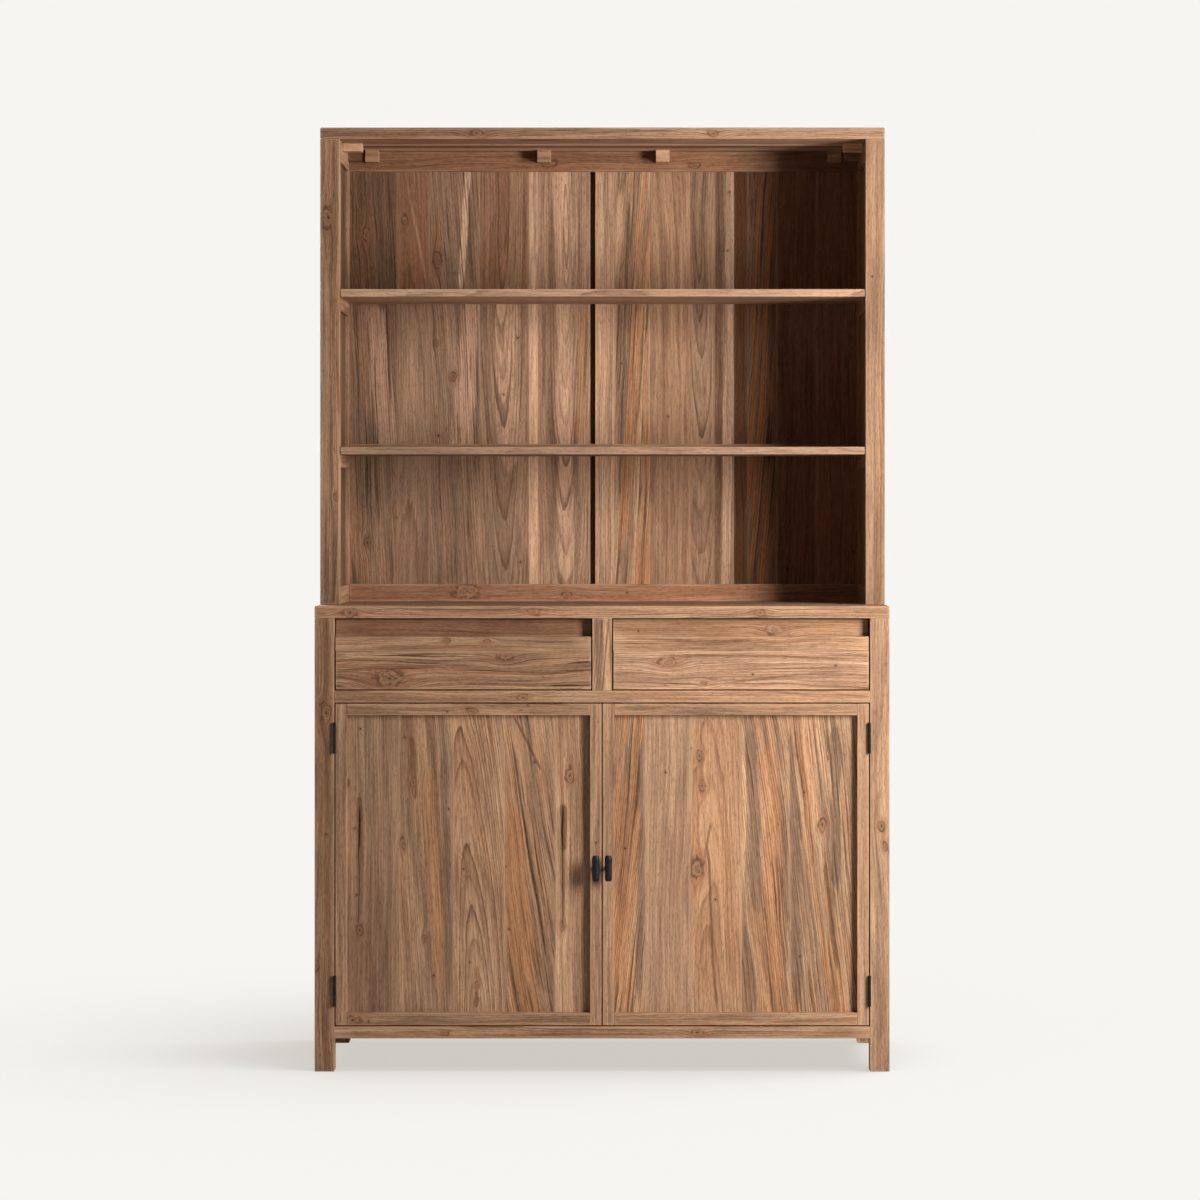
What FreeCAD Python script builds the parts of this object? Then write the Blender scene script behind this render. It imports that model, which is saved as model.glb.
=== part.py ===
import FreeCAD
import Part

import os

from FreeCAD import Vector

# Teak hutch cabinet: a cupboard with two drawers and two doors, carrying an open unit of shelves.
# Millimetres, x across the front, y from front to back, z up, floor at z = 0.

# Overall sizes
WIDTH = 1200.0
BASE_DEPTH = 450.0
BASE_HEIGHT = 971.0
TOTAL_HEIGHT = 1985.0
HUTCH_DEPTH = 310.0

# Timber sections
LEG = 41.0  # square section of the legs and of the hutch posts
COUNTER = 25.0
HUTCH_TOP = 24.0
FRONT_RAIL_DEPTH = 40.0
FRONT_RAIL_HEIGHT = 25.0
DIVIDER_WIDTH = 41.0  # stile between the drawers
DIVIDER_DEPTH = 30.0
SIDE_RAIL = 28.0  # thickness, with the inner face flush with the legs
BACK_RAIL = 34.0  # thickness, with the outer face flush with the legs
BASE_RAIL_TOP = 45.0  # heights of the side and back rails
BASE_RAIL_LOW = 50.0
HUTCH_RAIL_TOP = 44.0
HUTCH_RAIL_LOW = 38.0
SIDE_PANEL = 14.0
SIDE_PANEL_STEP = 8.0  # panel set back from the inner faces of the legs
BACK_PANEL = 12.0
MUNTIN_WIDTH = 58.0
MUNTIN_THICK = 12.0  # behind the back panels
SHELF = 16.0
SHELF_CLEAT = 27.0
SHELF_NOTCH_ROOM = 1.5
EASE = 1.2  # worn edges along the grain
PLANK_EASE = 0.6  # worn edges where planks meet

# Heights in the base
DRAWER_OPENING = 151.0
FOOT_CLEAR = 69.0
BOTTOM_BOARD = 14.0
BOTTOM_REBATE = 12.0
BEARER = 24.0  # width of the strips that carry boards and drawers
BEARER_HEIGHT = 14.0
INNER_SHELF = 18.0
INNER_SHELF_TOP = 440.0
INNER_SHELF_SETBACK = 50.0
INNER_CLEAT = 20.0

# Joinery
TENON = 18.0
STUB = 10.0
SHORT_STUB = 7.0
SHOULDER = 6.0  # beside a tenon
GROOVED_SHOULDER = 12.0  # beside a tenon where the edge is grooved
FRONT_TENON = (6.0, 18.5)  # behind the front face
BACK_TENON = (20.0, 8.0)  # ahead of the back face
MUNTIN_TENON = (9.0, 3.0)
GROOVE = 8.0  # depth of the grooves that hold the panels
DOOR_GROOVE = 7.0
FIT = 0.15  # glue room round a tenon
END_ROOM = 1.0  # room past the end of a tenon or the edge of a panel

# Doors
DOOR_GAP = 2.4
DOOR_THICK = 26.0
DOOR_STILE = 24.0
DOOR_LOW_RAIL = 26.0
DOOR_PANEL = 8.0
DOOR_PANEL_STEP = 14.0
DOOR_TENON = 16.0
DOOR_TENON_DEPTH = (5.0, 13.0)
DOOR_SHOULDER = 4.0

# Butt hinges, 2.5 inch
HINGE_LENGTH = 63.5
HINGE_MARGIN = 40.0  # from the ends of the door
LEAF = 1.2
LEAF_DEPTH = 18.0
KNUCKLES = 3
KNUCKLE_GAP = 0.3
BARREL = 3.2  # radius
BARREL_CLEAR = 0.4  # between a barrel and the other leaf's plate
PIN = 1.5
PIN_PRESS = 0.02  # radial room in the fixed knuckles
PIN_RUN = 0.06  # radial room in the moving knuckles
PIN_HEAD = 2.4
PIN_HEAD_TOP = 1.7
PIN_HEAD_HEIGHT = 1.4
AXIS_AHEAD = 3.7  # pin axis in front of the door face

# Forged pulls
PULL_WIDTH = 15.0
PULL_THICK = 12.0
PULL_LENGTH = 53.0
PULL_REACH = 27.0
PULL_HEIGHT = 426.0
PULL_BEVEL = 3.0
STEM = 4.5
STEM_FLARE = 6.5
STEM_FOOT = 2.5  # height of the flare's straight foot
STEM_TAPER = 5.0  # height where the flare ends

# Drawers
FRONT_THICK = 34.0
FINGER_HEIGHT = 38.0  # from the lip up to the counter
FINGER_DEPTH = 20.0
LIP = 10.0
FINGER_GROOVE = 14.0  # below the lip
DRAWER_SIDE = 12.0
DRAWER_SIDE_HEIGHT = 105.0
DRAWER_SIDE_LIFT = 2.6  # above the lower edge of the front
DRAWER_END = 400.0  # rear end of the sides, behind the front face
DRAWER_BOTTOM = 6.0
DRAWER_BOTTOM_LIFT = 8.0
DRAWER_BACK = 12.0
DRAWER_BACK_DROP = 7.0  # below the top of the sides
DRAWER_TAIL_END = 6.0  # sides run past the back
HOUSING = 4.0  # depth of the back's housings in the sides
TAILS = 3
TAIL_PITCH = 29.0
TAIL_FIRST = 32.0  # middle of the lowest dovetail above the side's lower edge
TAIL_WIDE = 19.0
TAIL_NARROW = 14.0
TAIL_LENGTH = 12.0
TAIL_ROOM = 0.1
RUN_GAP = 0.3
RUNNER_DROP = 5.0  # underside of the side runners above that of the rail
CENTER_RUNNER = 100.0
GUIDE_WIDTH = 38.0
GUIDE_HEIGHT = 15.0

# Catches and joining plates: width, thickness and height
CATCH = (40.0, 13.0, 12.0)
CATCH_X = 60.0
CATCH_GAP = 0.5
STRIKE = (30.0, 1.2, 11.0)
STRIKE_DROP = 3.0
PLATE = (24.0, 2.0, 150.0)

# Glue blocks under the hutch top: width, depth and height
SIDE_BLOCK_FRONT = (41.0, 35.0, 17.0)
SIDE_BLOCK_REAR = (34.0, 28.0, 24.0)
BACK_BLOCK = (30.0, 38.0, 26.0)
BACK_BLOCKS_X = (-507.0, -130.0)
SIDE_BLOCK_SETBACK = 95.0
SIDE_BLOCK_GAP = 4.0

# Plank joints, across the panels
LEFT_DOOR_JOINTS = (-426.0, -313.0, -203.0, -98.0)
RIGHT_DOOR_JOINTS = (89.0, 185.0, 292.0, 392.0)
BACK_OPENING = (-29.0, -18.0)  # the open joint between the hutch back panels
LEFT_BACK_JOINTS = (-452.0, -382.0, -272.0, -164.0, -144.0)
RIGHT_BACK_JOINTS = (24.0, 103.0, 191.0, 242.0, 288.0, 317.0, 381.0, 470.0)
BACK_STRIP_DEPTH = 12.0  # strip along the back of the lower shelf
BACK_STRIP_HEIGHT = 10.8
BASE_BACK_OPENING = (-2.0, 2.0)

# Plank joints as shares of the width that nothing in view fixes
BASE_BACK_SHARES = (0.19, 0.42, 0.6, 0.82)
BASE_SIDE_SHARES = (0.28, 0.5, 0.77)
HUTCH_SIDE_SHARES = (0.37, 0.68)
COUNTER_SHARES = (0.24, 0.51, 0.75)
HUTCH_TOP_SHARES = (0.35, 0.68)
SHELF_SHARES = (0.55,)

X, Y, Z = 0, 1, 2

# The pulls stand furthest forward, and the box of the whole cabinet is centred on the origin
front = -(BASE_DEPTH - PULL_REACH) / 2
back = front + BASE_DEPTH
hutch_front = back - HUTCH_DEPTH
half = WIDTH / 2
inner = half - LEG

counter_under = BASE_HEIGHT - COUNTER
mid_rail = (counter_under - DRAWER_OPENING - FRONT_RAIL_HEIGHT, counter_under - DRAWER_OPENING)
low_rail = (FOOT_CLEAR, FOOT_CLEAR + FRONT_RAIL_HEIGHT)
top_under = TOTAL_HEIGHT - HUTCH_TOP
bay = (top_under - BASE_HEIGHT - 2 * SHELF) / 3
lower_shelf = (BASE_HEIGHT + bay, BASE_HEIGHT + bay + SHELF)
upper_shelf = (top_under - bay - SHELF, top_under - bay)

panel_x = (-inner - SIDE_PANEL_STEP - SIDE_PANEL, -inner - SIDE_PANEL_STEP)
back_panel_y = (back - MUNTIN_THICK - BACK_PANEL, back - MUNTIN_THICK)

door_x = (-inner + DOOR_GAP, -DOOR_GAP / 2)
door_z = (low_rail[1] + DOOR_GAP, mid_rail[0] - DOOR_GAP)
axis_x = -inner + DOOR_GAP / 2
axis_y = front - AXIS_AHEAD
hinge_heights = (door_z[0] + HINGE_MARGIN, door_z[1] - HINGE_MARGIN - HINGE_LENGTH)

nodes = {}


def block(x, y, z):
    return Part.makeBox(x[1] - x[0], y[1] - y[0], z[1] - z[0], Vector(x[0], y[0], z[0]))


def grow(span, by):
    return (span[0] - by, span[1] + by)


def around(middle, size):
    return (middle - size / 2, middle + size / 2)


def at_shares(span, shares):
    return [span[0] + share * (span[1] - span[0]) for share in shares]


def mirrored(shape):
    return shape.mirror(Vector(0, 0, 0), Vector(1, 0, 0))


def pair(shape):
    return [shape, mirrored(shape)]


def group(shapes):
    return Part.makeCompound([solid for shape in shapes for solid in shape.Solids])


def edges_along(shape, axis):
    found = []
    for edge in shape.Edges:
        run = edge.Vertexes[-1].Point.sub(edge.Vertexes[0].Point)
        if abs(abs(run[axis]) - run.Length) < 1e-6:
            found.append(edge)
    return found


def timber(x, y, z, grain, ease=EASE):
    """A board whose edges along the grain are worn."""
    plain = block(x, y, z)
    return plain.makeChamfer(ease, edges_along(plain, grain))


def planks(x, y, z, across, grain, joints):
    """Boards glued edge to edge, meeting at the given places."""
    spans = [x, y, z]
    low, high = spans[across]
    stops = [low, *joints, high]
    boards = []
    for start, end in zip(stops[:-1], stops[1:]):
        spans[across] = (start, end)
        boards.append(timber(*spans, grain, PLANK_EASE))
    return Part.makeCompound(boards)


def cut(shape, cutters):
    left = shape.cut(Part.makeCompound(cutters))
    return left.Solids[0] if len(left.Solids) == 1 else left


def fused(pieces):
    return pieces[0].fuse(pieces[1:]).removeSplitter().Solids[0]


def tenoned(spans, grain, tenon, length=TENON):
    """A rail with a tenon at each end, and the mortises that take them.

    tenon holds the two spans across the grain, in axis order.
    """
    low, high = spans[grain]
    pieces = [timber(*spans, grain)]
    mortises = []
    for end in ((low - length, low), (high, high + length)):
        core = list(tenon)
        core.insert(grain, end)
        pieces.append(block(*core))
        room = [grow(span, END_ROOM if axis == grain else FIT) for axis, span in enumerate(core)]
        mortises.append(block(*room))
    return fused(pieces), mortises


def groove_for(x, y, z, thin):
    """The groove round a panel, with room at its sides and top; it stands on the groove's floor."""
    room = [grow(span, FIT if axis == thin else END_ROOM) for axis, span in enumerate((x, y, z))]
    room[Z] = (z[0], z[1] + END_ROOM)
    return block(*room)


def upright(corner_y, z, cutters):
    """A left leg or post with its stub tenon, and the mortise for that tenon."""
    x = (-half, -inner)
    y = (corner_y, corner_y + LEG)
    stub = [grow(x, -STUB), grow(y, -STUB), (z[1], z[1] + STUB)]
    mortise = block(grow(stub[X], FIT), grow(stub[Y], FIT), (z[1], z[1] + STUB + END_ROOM))
    return cut(fused([timber(x, y, z, Z), block(*stub)]), cutters), mortise


def side_frame(y, rails, shares):
    """Left side rails between two uprights and the planks that they hold.

    rails holds the spans in z of the lower and upper rail, and y the span between the uprights.
    """
    x = (-inner - SIDE_RAIL, -inner)
    tenon_x = grow(panel_x, -1.0)
    low, high = rails
    low_piece, low_holes = tenoned(
        [x, y, low], Y, [tenon_x, (low[0] + SHOULDER, low[1] - GROOVED_SHOULDER)])
    high_piece, high_holes = tenoned(
        [x, y, high], Y, [tenon_x, (high[0] + GROOVED_SHOULDER, high[1] - SHOULDER)])
    spans = [panel_x, grow(y, GROOVE), (low[1] - GROOVE, high[0] + GROOVE)]
    boards = planks(*spans, Y, Z, at_shares(spans[Y], shares))
    groove = groove_for(*spans, X)
    rail_pieces = [cut(low_piece, [groove]), cut(high_piece, [groove])]
    return rail_pieces, boards, low_holes + high_holes + [groove]


def back_frame(rails, opening, joints):
    """Back rails, the planks of the two panels between them and the muntin behind their joint.

    joints holds the plank joints of the left and the right panel.
    """
    y = (back - BACK_RAIL, back)
    low, high = rails
    tenon_y = (back - BACK_TENON[0], back - BACK_TENON[1])
    low_piece, low_holes = tenoned(
        [(-inner, inner), y, low], X, [tenon_y, (low[0] + SHOULDER, low[1] - GROOVED_SHOULDER)])
    high_piece, high_holes = tenoned(
        [(-inner, inner), y, high], X, [tenon_y, (high[0] + GROOVED_SHOULDER, high[1] - SHOULDER)])
    z = (low[1] - GROOVE, high[0] + GROOVE)
    muntin_x = around(sum(opening) / 2, MUNTIN_WIDTH)
    muntin, muntin_holes = tenoned(
        [muntin_x, (back - MUNTIN_THICK, back), (low[1], high[0])], Z,
        [grow(muntin_x, -SHOULDER), (back - MUNTIN_TENON[0], back - MUNTIN_TENON[1])], STUB)
    panels, grooves = [], []
    for x, places in zip(((-inner - GROOVE, opening[0]), (opening[1], inner + GROOVE)), joints):
        panels.append(planks(x, back_panel_y, z, X, Z, places))
        grooves.append(groove_for(x, back_panel_y, z, Y))
    rail_cuts = grooves + muntin_holes
    rail_pieces = [cut(low_piece, rail_cuts), cut(high_piece, rail_cuts)]
    return rail_pieces, panels, muntin, low_holes + high_holes + grooves


def hinge_leaf(x, z, first, room):
    """One leaf of a left-hand hinge: plate, tabs and every second knuckle from the first."""
    plate_start = axis_y + BARREL + BARREL_CLEAR
    pitch = HINGE_LENGTH / KNUCKLES
    pieces = [block(x, (plate_start, front + LEAF_DEPTH), (z, z + HINGE_LENGTH))]
    for number in range(first, KNUCKLES, 2):
        span = grow((z + number * pitch, z + (number + 1) * pitch), -KNUCKLE_GAP / 2)
        pieces.append(block(x, (axis_y, plate_start), span))
        pieces.append(Part.makeCylinder(BARREL, span[1] - span[0], Vector(axis_x, axis_y, span[0])))
    bore = Part.makeCylinder(PIN + room, HINGE_LENGTH, Vector(axis_x, axis_y, z))
    return cut(fused(pieces), [bore])


def hinge_pin(z):
    """A pin with a tapered head that rests on the top knuckle."""
    top = z + HINGE_LENGTH - KNUCKLE_GAP / 2
    shank = Part.makeCylinder(PIN, top - z, Vector(axis_x, axis_y, z))
    head = Part.makeCone(PIN_HEAD, PIN_HEAD_TOP, PIN_HEAD_HEIGHT, Vector(axis_x, axis_y, top))
    return fused([shank, head])


def hinge_leaf_recesses(x):
    return [block(x, (front, front + LEAF_DEPTH), (z, z + HINGE_LENGTH)) for z in hinge_heights]


def door_pull(x):
    """A short forged bar on a flared stem."""
    reach = front - PULL_REACH
    bar = block(around(x, PULL_WIDTH), (reach, reach + PULL_THICK), around(PULL_HEIGHT, PULL_LENGTH))
    face = [edge for edge in bar.Edges if edge.BoundBox.YMax < reach + EASE]
    bar = bar.makeChamfer(PULL_BEVEL, face)
    bar = bar.makeChamfer(EASE, edges_along(bar, Y))
    tip = PULL_THICK - PULL_REACH - EASE  # inside the bar
    profile = Part.makePolygon([
        Vector(0, 0, 0), Vector(STEM_FLARE, 0, 0), Vector(STEM_FLARE, -STEM_FOOT, 0),
        Vector(STEM, -STEM_TAPER, 0), Vector(STEM, tip, 0), Vector(0, tip, 0), Vector(0, 0, 0)])
    stem = Part.Face(profile).revolve(Vector(0, 0, 0), Vector(0, 1, 0), 360)
    stem.translate(Vector(x, front, PULL_HEIGHT))
    return fused([bar, stem])


def dovetail(root, z, x, room):
    """One tail of a drawer side, wider at its tip."""
    wide = TAIL_WIDE / 2 + room
    narrow = TAIL_NARROW / 2 + room
    tip = root - TAIL_LENGTH - room
    outline = Part.makePolygon([
        Vector(x[0], root, z - narrow), Vector(x[0], tip, z - wide),
        Vector(x[0], tip, z + wide), Vector(x[0], root, z + narrow), Vector(x[0], root, z - narrow)])
    return Part.Face(outline).extrude(Vector(x[1] - x[0], 0, 0))


def drawer_front(x, z):
    """A thick front with a full-width finger pull: lip, round-bottomed groove and set-back face."""
    lip_top = counter_under - FINGER_HEIGHT
    radius = (FINGER_DEPTH - LIP) / 2
    floor = lip_top - FINGER_GROOVE

    def at(depth, height):
        return Vector(x[0], front + depth, height)

    before_groove = [at(0, z[0]), at(0, lip_top), at(LIP, lip_top), at(LIP, floor + radius)]
    after_groove = [at(FINGER_DEPTH, floor + radius), at(FINGER_DEPTH, z[1]), at(FRONT_THICK, z[1]),
                    at(FRONT_THICK, z[0]), at(0, z[0])]
    arc = Part.Arc(before_groove[-1], at(LIP + radius, floor), after_groove[0]).toShape()
    edges = Part.makePolygon(before_groove).Edges + [arc] + Part.makePolygon(after_groove).Edges
    solid = Part.Face(Part.Wire(edges)).extrude(Vector(x[1] - x[0], 0, 0))
    lip_edges = [edge for edge in edges_along(solid, X)
                 if edge.BoundBox.YMax < front + LIP + EASE and edge.BoundBox.ZMin > lip_top - EASE]
    return solid.makeChamfer(EASE, lip_edges)


def plates():
    """Flat joining plates with round corners, let in flush at the back of the rear legs and posts."""
    x = around(-(half + inner) / 2, PLATE[0])
    plate = block(x, (back - PLATE[1], back), around(BASE_HEIGHT - COUNTER / 2, PLATE[2]))
    return pair(plate.makeFillet(PLATE[0] / 3, edges_along(plate, Y)))


def base_carcass():
    """Legs, rails, panels and counter of the base."""
    start, rear = front + LEG, back - LEG
    rails = ((FOOT_CLEAR, FOOT_CLEAR + BASE_RAIL_LOW), (counter_under - BASE_RAIL_TOP, counter_under))
    side_rails, side_panel, side_cuts = side_frame((start, rear), rails, BASE_SIDE_SHARES)
    joints = [at_shares((-inner, BASE_BACK_OPENING[0]), BASE_BACK_SHARES),
              at_shares((BASE_BACK_OPENING[1], inner), BASE_BACK_SHARES)]
    back_rails, back_panels, muntin, back_cuts = back_frame(rails, BASE_BACK_OPENING, joints)

    rail_y = (front, front + FRONT_RAIL_DEPTH)
    tenon_y = (front + FRONT_TENON[0], front + FRONT_TENON[1])
    middle, middle_holes = tenoned(
        [(-inner, inner), rail_y, mid_rail], X, [tenon_y, grow(mid_rail, -SHOULDER)])
    lowest, lowest_holes = tenoned(
        [(-inner, inner), rail_y, low_rail], X, [tenon_y, grow(low_rail, -SHOULDER)])
    stile_x, stile_y = around(0, DIVIDER_WIDTH), (front, front + DIVIDER_DEPTH)
    stile, stile_holes = tenoned(
        [stile_x, stile_y, (mid_rail[1], counter_under)], Z,
        [grow(stile_x, -GROOVED_SHOULDER), grow(stile_y, -SHOULDER)], STUB)

    # A stub-tenoned rail inside the back carries the rear end of the centre runner
    carrier_y = (rear, back_panel_y[0])
    carrier, carrier_holes = tenoned(
        [(-inner, inner), carrier_y, mid_rail], X,
        [grow(carrier_y, -SHOULDER), grow(mid_rail, -SHOULDER)], SHORT_STUB)

    front_cuts = side_cuts + middle_holes + lowest_holes + hinge_leaf_recesses((-inner - LEAF, -inner))
    rear_cuts = side_cuts + back_cuts + carrier_holes + plates()
    front_leg, front_mortise = upright(front, (0, counter_under), front_cuts)
    rear_leg, rear_mortise = upright(rear, (0, counter_under), rear_cuts)
    nodes["leg_front_left"], nodes["leg_front_right"] = pair(front_leg)
    nodes["leg_rear_left"], nodes["leg_rear_right"] = pair(rear_leg)

    counter = planks((-half, half), (front, back), (counter_under, BASE_HEIGHT), Y, X,
                     at_shares((front, back), COUNTER_SHARES))
    nodes["counter_top"] = cut(counter, pair(front_mortise) + pair(rear_mortise) + stile_holes + plates())
    nodes["front_middle_rail"] = cut(middle, stile_holes)
    nodes["drawer_divider"] = stile
    nodes["base_side_rails"] = group(pair(side_rails[0]) + pair(side_rails[1]))
    nodes["base_side_panel_left"], nodes["base_side_panel_right"] = pair(side_panel)
    nodes["base_back_frame"] = group(back_rails + [carrier, muntin])
    nodes["base_back_panels"] = group(back_panels)

    board_y = (rail_y[1] - BOTTOM_REBATE, back - BACK_RAIL)
    board_z = (low_rail[1] - BOTTOM_BOARD, low_rail[1])
    rebate = block((-half, half), (board_y[0], rail_y[1]), board_z)
    nodes["front_bottom_rail"] = cut(lowest, [rebate])
    nodes["bottom_board"] = timber(grow((-inner, inner), -FIT), board_y, board_z, X)
    bearer = timber((-inner, -inner + BEARER), (start, rear), (board_z[0] - BEARER_HEIGHT, board_z[0]), Y)
    nodes["bottom_bearers"] = group(pair(bearer))


def base_fittings():
    """Inner shelf, drawer runners and door catches."""
    start, rear = front + LEG, back - LEG
    strip_x = (panel_x[1], -inner + BEARER)
    shelf_z = (INNER_SHELF_TOP - INNER_SHELF, INNER_SHELF_TOP)
    shelf_y = (front + INNER_SHELF_SETBACK, back_panel_y[0] - END_ROOM)
    nodes["inner_shelf"] = timber(grow((-inner, inner), -END_ROOM), shelf_y, shelf_z, X)
    cleat = timber(strip_x, (start, rear), (shelf_z[0] - INNER_CLEAT, shelf_z[0]), Y)
    nodes["inner_shelf_cleats"] = group(pair(cleat))

    run_top = mid_rail[1] + DOOR_GAP + DRAWER_SIDE_LIFT - RUN_GAP
    runner = timber(strip_x, (start, rear), (mid_rail[0] + RUNNER_DROP, run_top), Y)
    nodes["drawer_side_runners"] = group(pair(runner))
    middle_y = (front + FRONT_RAIL_DEPTH, rear)
    bearer = block(around(0, CENTER_RUNNER), middle_y, (mid_rail[0], run_top))
    guide = timber(around(0, GUIDE_WIDTH), middle_y, (run_top, run_top + GUIDE_HEIGHT), Y)
    nodes["drawer_center_runner"] = group([bearer, guide])

    catch_y = front + DOOR_THICK + CATCH_GAP
    catch = block(around(-CATCH_X, CATCH[0]), (catch_y, catch_y + CATCH[1]),
                  (mid_rail[0] - CATCH[2], mid_rail[0]))
    nodes["door_catches"] = group(pair(catch.makeChamfer(EASE, edges_along(catch, Z))))


def hutch():
    """Posts, rails, panels, shelves and top of the open upper unit."""
    start, rear = hutch_front + LEG, back - LEG
    rails = ((BASE_HEIGHT, BASE_HEIGHT + HUTCH_RAIL_LOW), (top_under - HUTCH_RAIL_TOP, top_under))
    side_rails, side_panel, side_cuts = side_frame((start, rear), rails, HUTCH_SIDE_SHARES)
    back_rails, back_panels, muntin, back_cuts = back_frame(
        rails, BACK_OPENING, (LEFT_BACK_JOINTS, RIGHT_BACK_JOINTS))

    post_z = (BASE_HEIGHT, top_under)
    front_post, front_mortise = upright(hutch_front, post_z, side_cuts)
    rear_post, rear_mortise = upright(rear, post_z, side_cuts + back_cuts + plates())
    nodes["hutch_post_front_left"], nodes["hutch_post_front_right"] = pair(front_post)
    nodes["hutch_post_rear_left"], nodes["hutch_post_rear_right"] = pair(rear_post)
    top = planks((-half, half), (hutch_front, back), (top_under, TOTAL_HEIGHT), Y, X,
                 at_shares((hutch_front, back), HUTCH_TOP_SHARES))
    nodes["hutch_top"] = cut(top, pair(front_mortise) + pair(rear_mortise))
    nodes["hutch_side_rails"] = group(pair(side_rails[0]) + pair(side_rails[1]))
    nodes["hutch_side_panel_left"], nodes["hutch_side_panel_right"] = pair(side_panel)
    nodes["hutch_back_rails"] = group(back_rails)
    nodes["hutch_back_panel_left"], nodes["hutch_back_panel_right"] = back_panels
    nodes["hutch_back_muntin"] = muntin
    nodes["hutch_top_blocks"] = group(top_blocks())
    nodes["joining_plates"] = group(plates())

    # The shelves reach past the posts on to the cleats, so their corners are notched round the posts
    notch_x = (-half, -inner + SHELF_NOTCH_ROOM)
    shelf_x = (panel_x[1] + END_ROOM, -panel_x[1] - END_ROOM)
    shelf_y = (hutch_front + SHELF_NOTCH_ROOM, back_panel_y[0] - END_ROOM)
    cleats = []
    for name, z in (("hutch_shelf_lower", lower_shelf), ("hutch_shelf_upper", upper_shelf)):
        boards = planks(shelf_x, shelf_y, z, Y, X, at_shares(shelf_y, SHELF_SHARES))
        notches = []
        for y in ((hutch_front, start + SHELF_NOTCH_ROOM), (rear - SHELF_NOTCH_ROOM, back)):
            notches += pair(block(notch_x, y, z))
        nodes[name] = cut(boards, notches)
        cleats += pair(timber((panel_x[1], -inner), (start, rear), (z[0] - SHELF_CLEAT, z[0]), Y))
    nodes["hutch_shelf_cleats"] = group(cleats)
    strip_y = (back_panel_y[0] - BACK_STRIP_DEPTH, back_panel_y[0])
    strip_z = (lower_shelf[1], lower_shelf[1] + BACK_STRIP_HEIGHT)
    nodes["hutch_shelf_back_strip"] = timber(grow((-inner, inner), -END_ROOM), strip_y, strip_z, X)


def top_blocks():
    """Glue blocks that hold the hutch top to its side and back rails."""
    rail_face = back - BACK_RAIL
    front_y = hutch_front + SIDE_BLOCK_SETBACK
    rear_y = rail_face - SIDE_BLOCK_GAP
    width, depth, height = SIDE_BLOCK_FRONT
    spans = [((-inner, -inner + width), (front_y, front_y + depth), height)]
    width, depth, height = SIDE_BLOCK_REAR
    spans.append(((-inner, -inner + width), (rear_y - depth, rear_y), height))
    for x in BACK_BLOCKS_X:
        spans.append((around(x, BACK_BLOCK[0]), (rail_face - BACK_BLOCK[1], rail_face), BACK_BLOCK[2]))
    blocks = []
    for x, y, height in spans:
        blocks += pair(timber(x, y, (top_under - height, top_under), X))
    return blocks


def door(side, joints):
    """A framed door filled with planks; the right one is made as its mirror image and mirrored."""
    x, y, z = door_x, (front, front + DOOR_THICK), door_z
    tenon_y = (front + DOOR_TENON_DEPTH[0], front + DOOR_TENON_DEPTH[1])
    low, high = (z[0], z[0] + DOOR_LOW_RAIL), (z[1] - DOOR_STILE, z[1])
    rail_x = grow(x, -DOOR_STILE)
    rails, holes = [], []
    for span in (low, high):
        rail, mortises = tenoned([rail_x, y, span], X, [tenon_y, grow(span, -DOOR_SHOULDER)], DOOR_TENON)
        rails.append(rail)
        holes += mortises

    panel_y = (front + DOOR_PANEL_STEP, front + DOOR_PANEL_STEP + DOOR_PANEL)
    spans = [grow(rail_x, DOOR_GROOVE), panel_y, (low[1] - DOOR_GROOVE, high[0] + DOOR_GROOVE)]
    groove = groove_for(*spans, Y)
    leaf_x = (x[0], x[0] + LEAF)
    strike_z = (high[1] - STRIKE_DROP - STRIKE[2], high[1] - STRIKE_DROP)
    strike = block(around(-CATCH_X, STRIKE[0]), (y[1] - STRIKE[1], y[1]), strike_z)
    leaves = [hinge_leaf(leaf_x, height, 1, PIN_RUN) for height in hinge_heights]
    hinge_cuts = holes + [groove] + hinge_leaf_recesses(leaf_x)
    made = {
        "hinge_stile": cut(timber((x[0], rail_x[0]), y, z, Z), hinge_cuts),
        "meeting_stile": cut(timber((rail_x[1], x[1]), y, z, Z), holes + [groove]),
        "rails": group([cut(rail, [groove, strike]) for rail in rails]),
        "panel": planks(*spans, X, Z, joints),
        "pull": door_pull(x[1] - DOOR_STILE / 2),
        "hinge_leaves": group(leaves + [strike]),
    }
    for name, shape in made.items():
        nodes["door_" + side + "_" + name] = mirrored(shape) if side == "right" else shape


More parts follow.
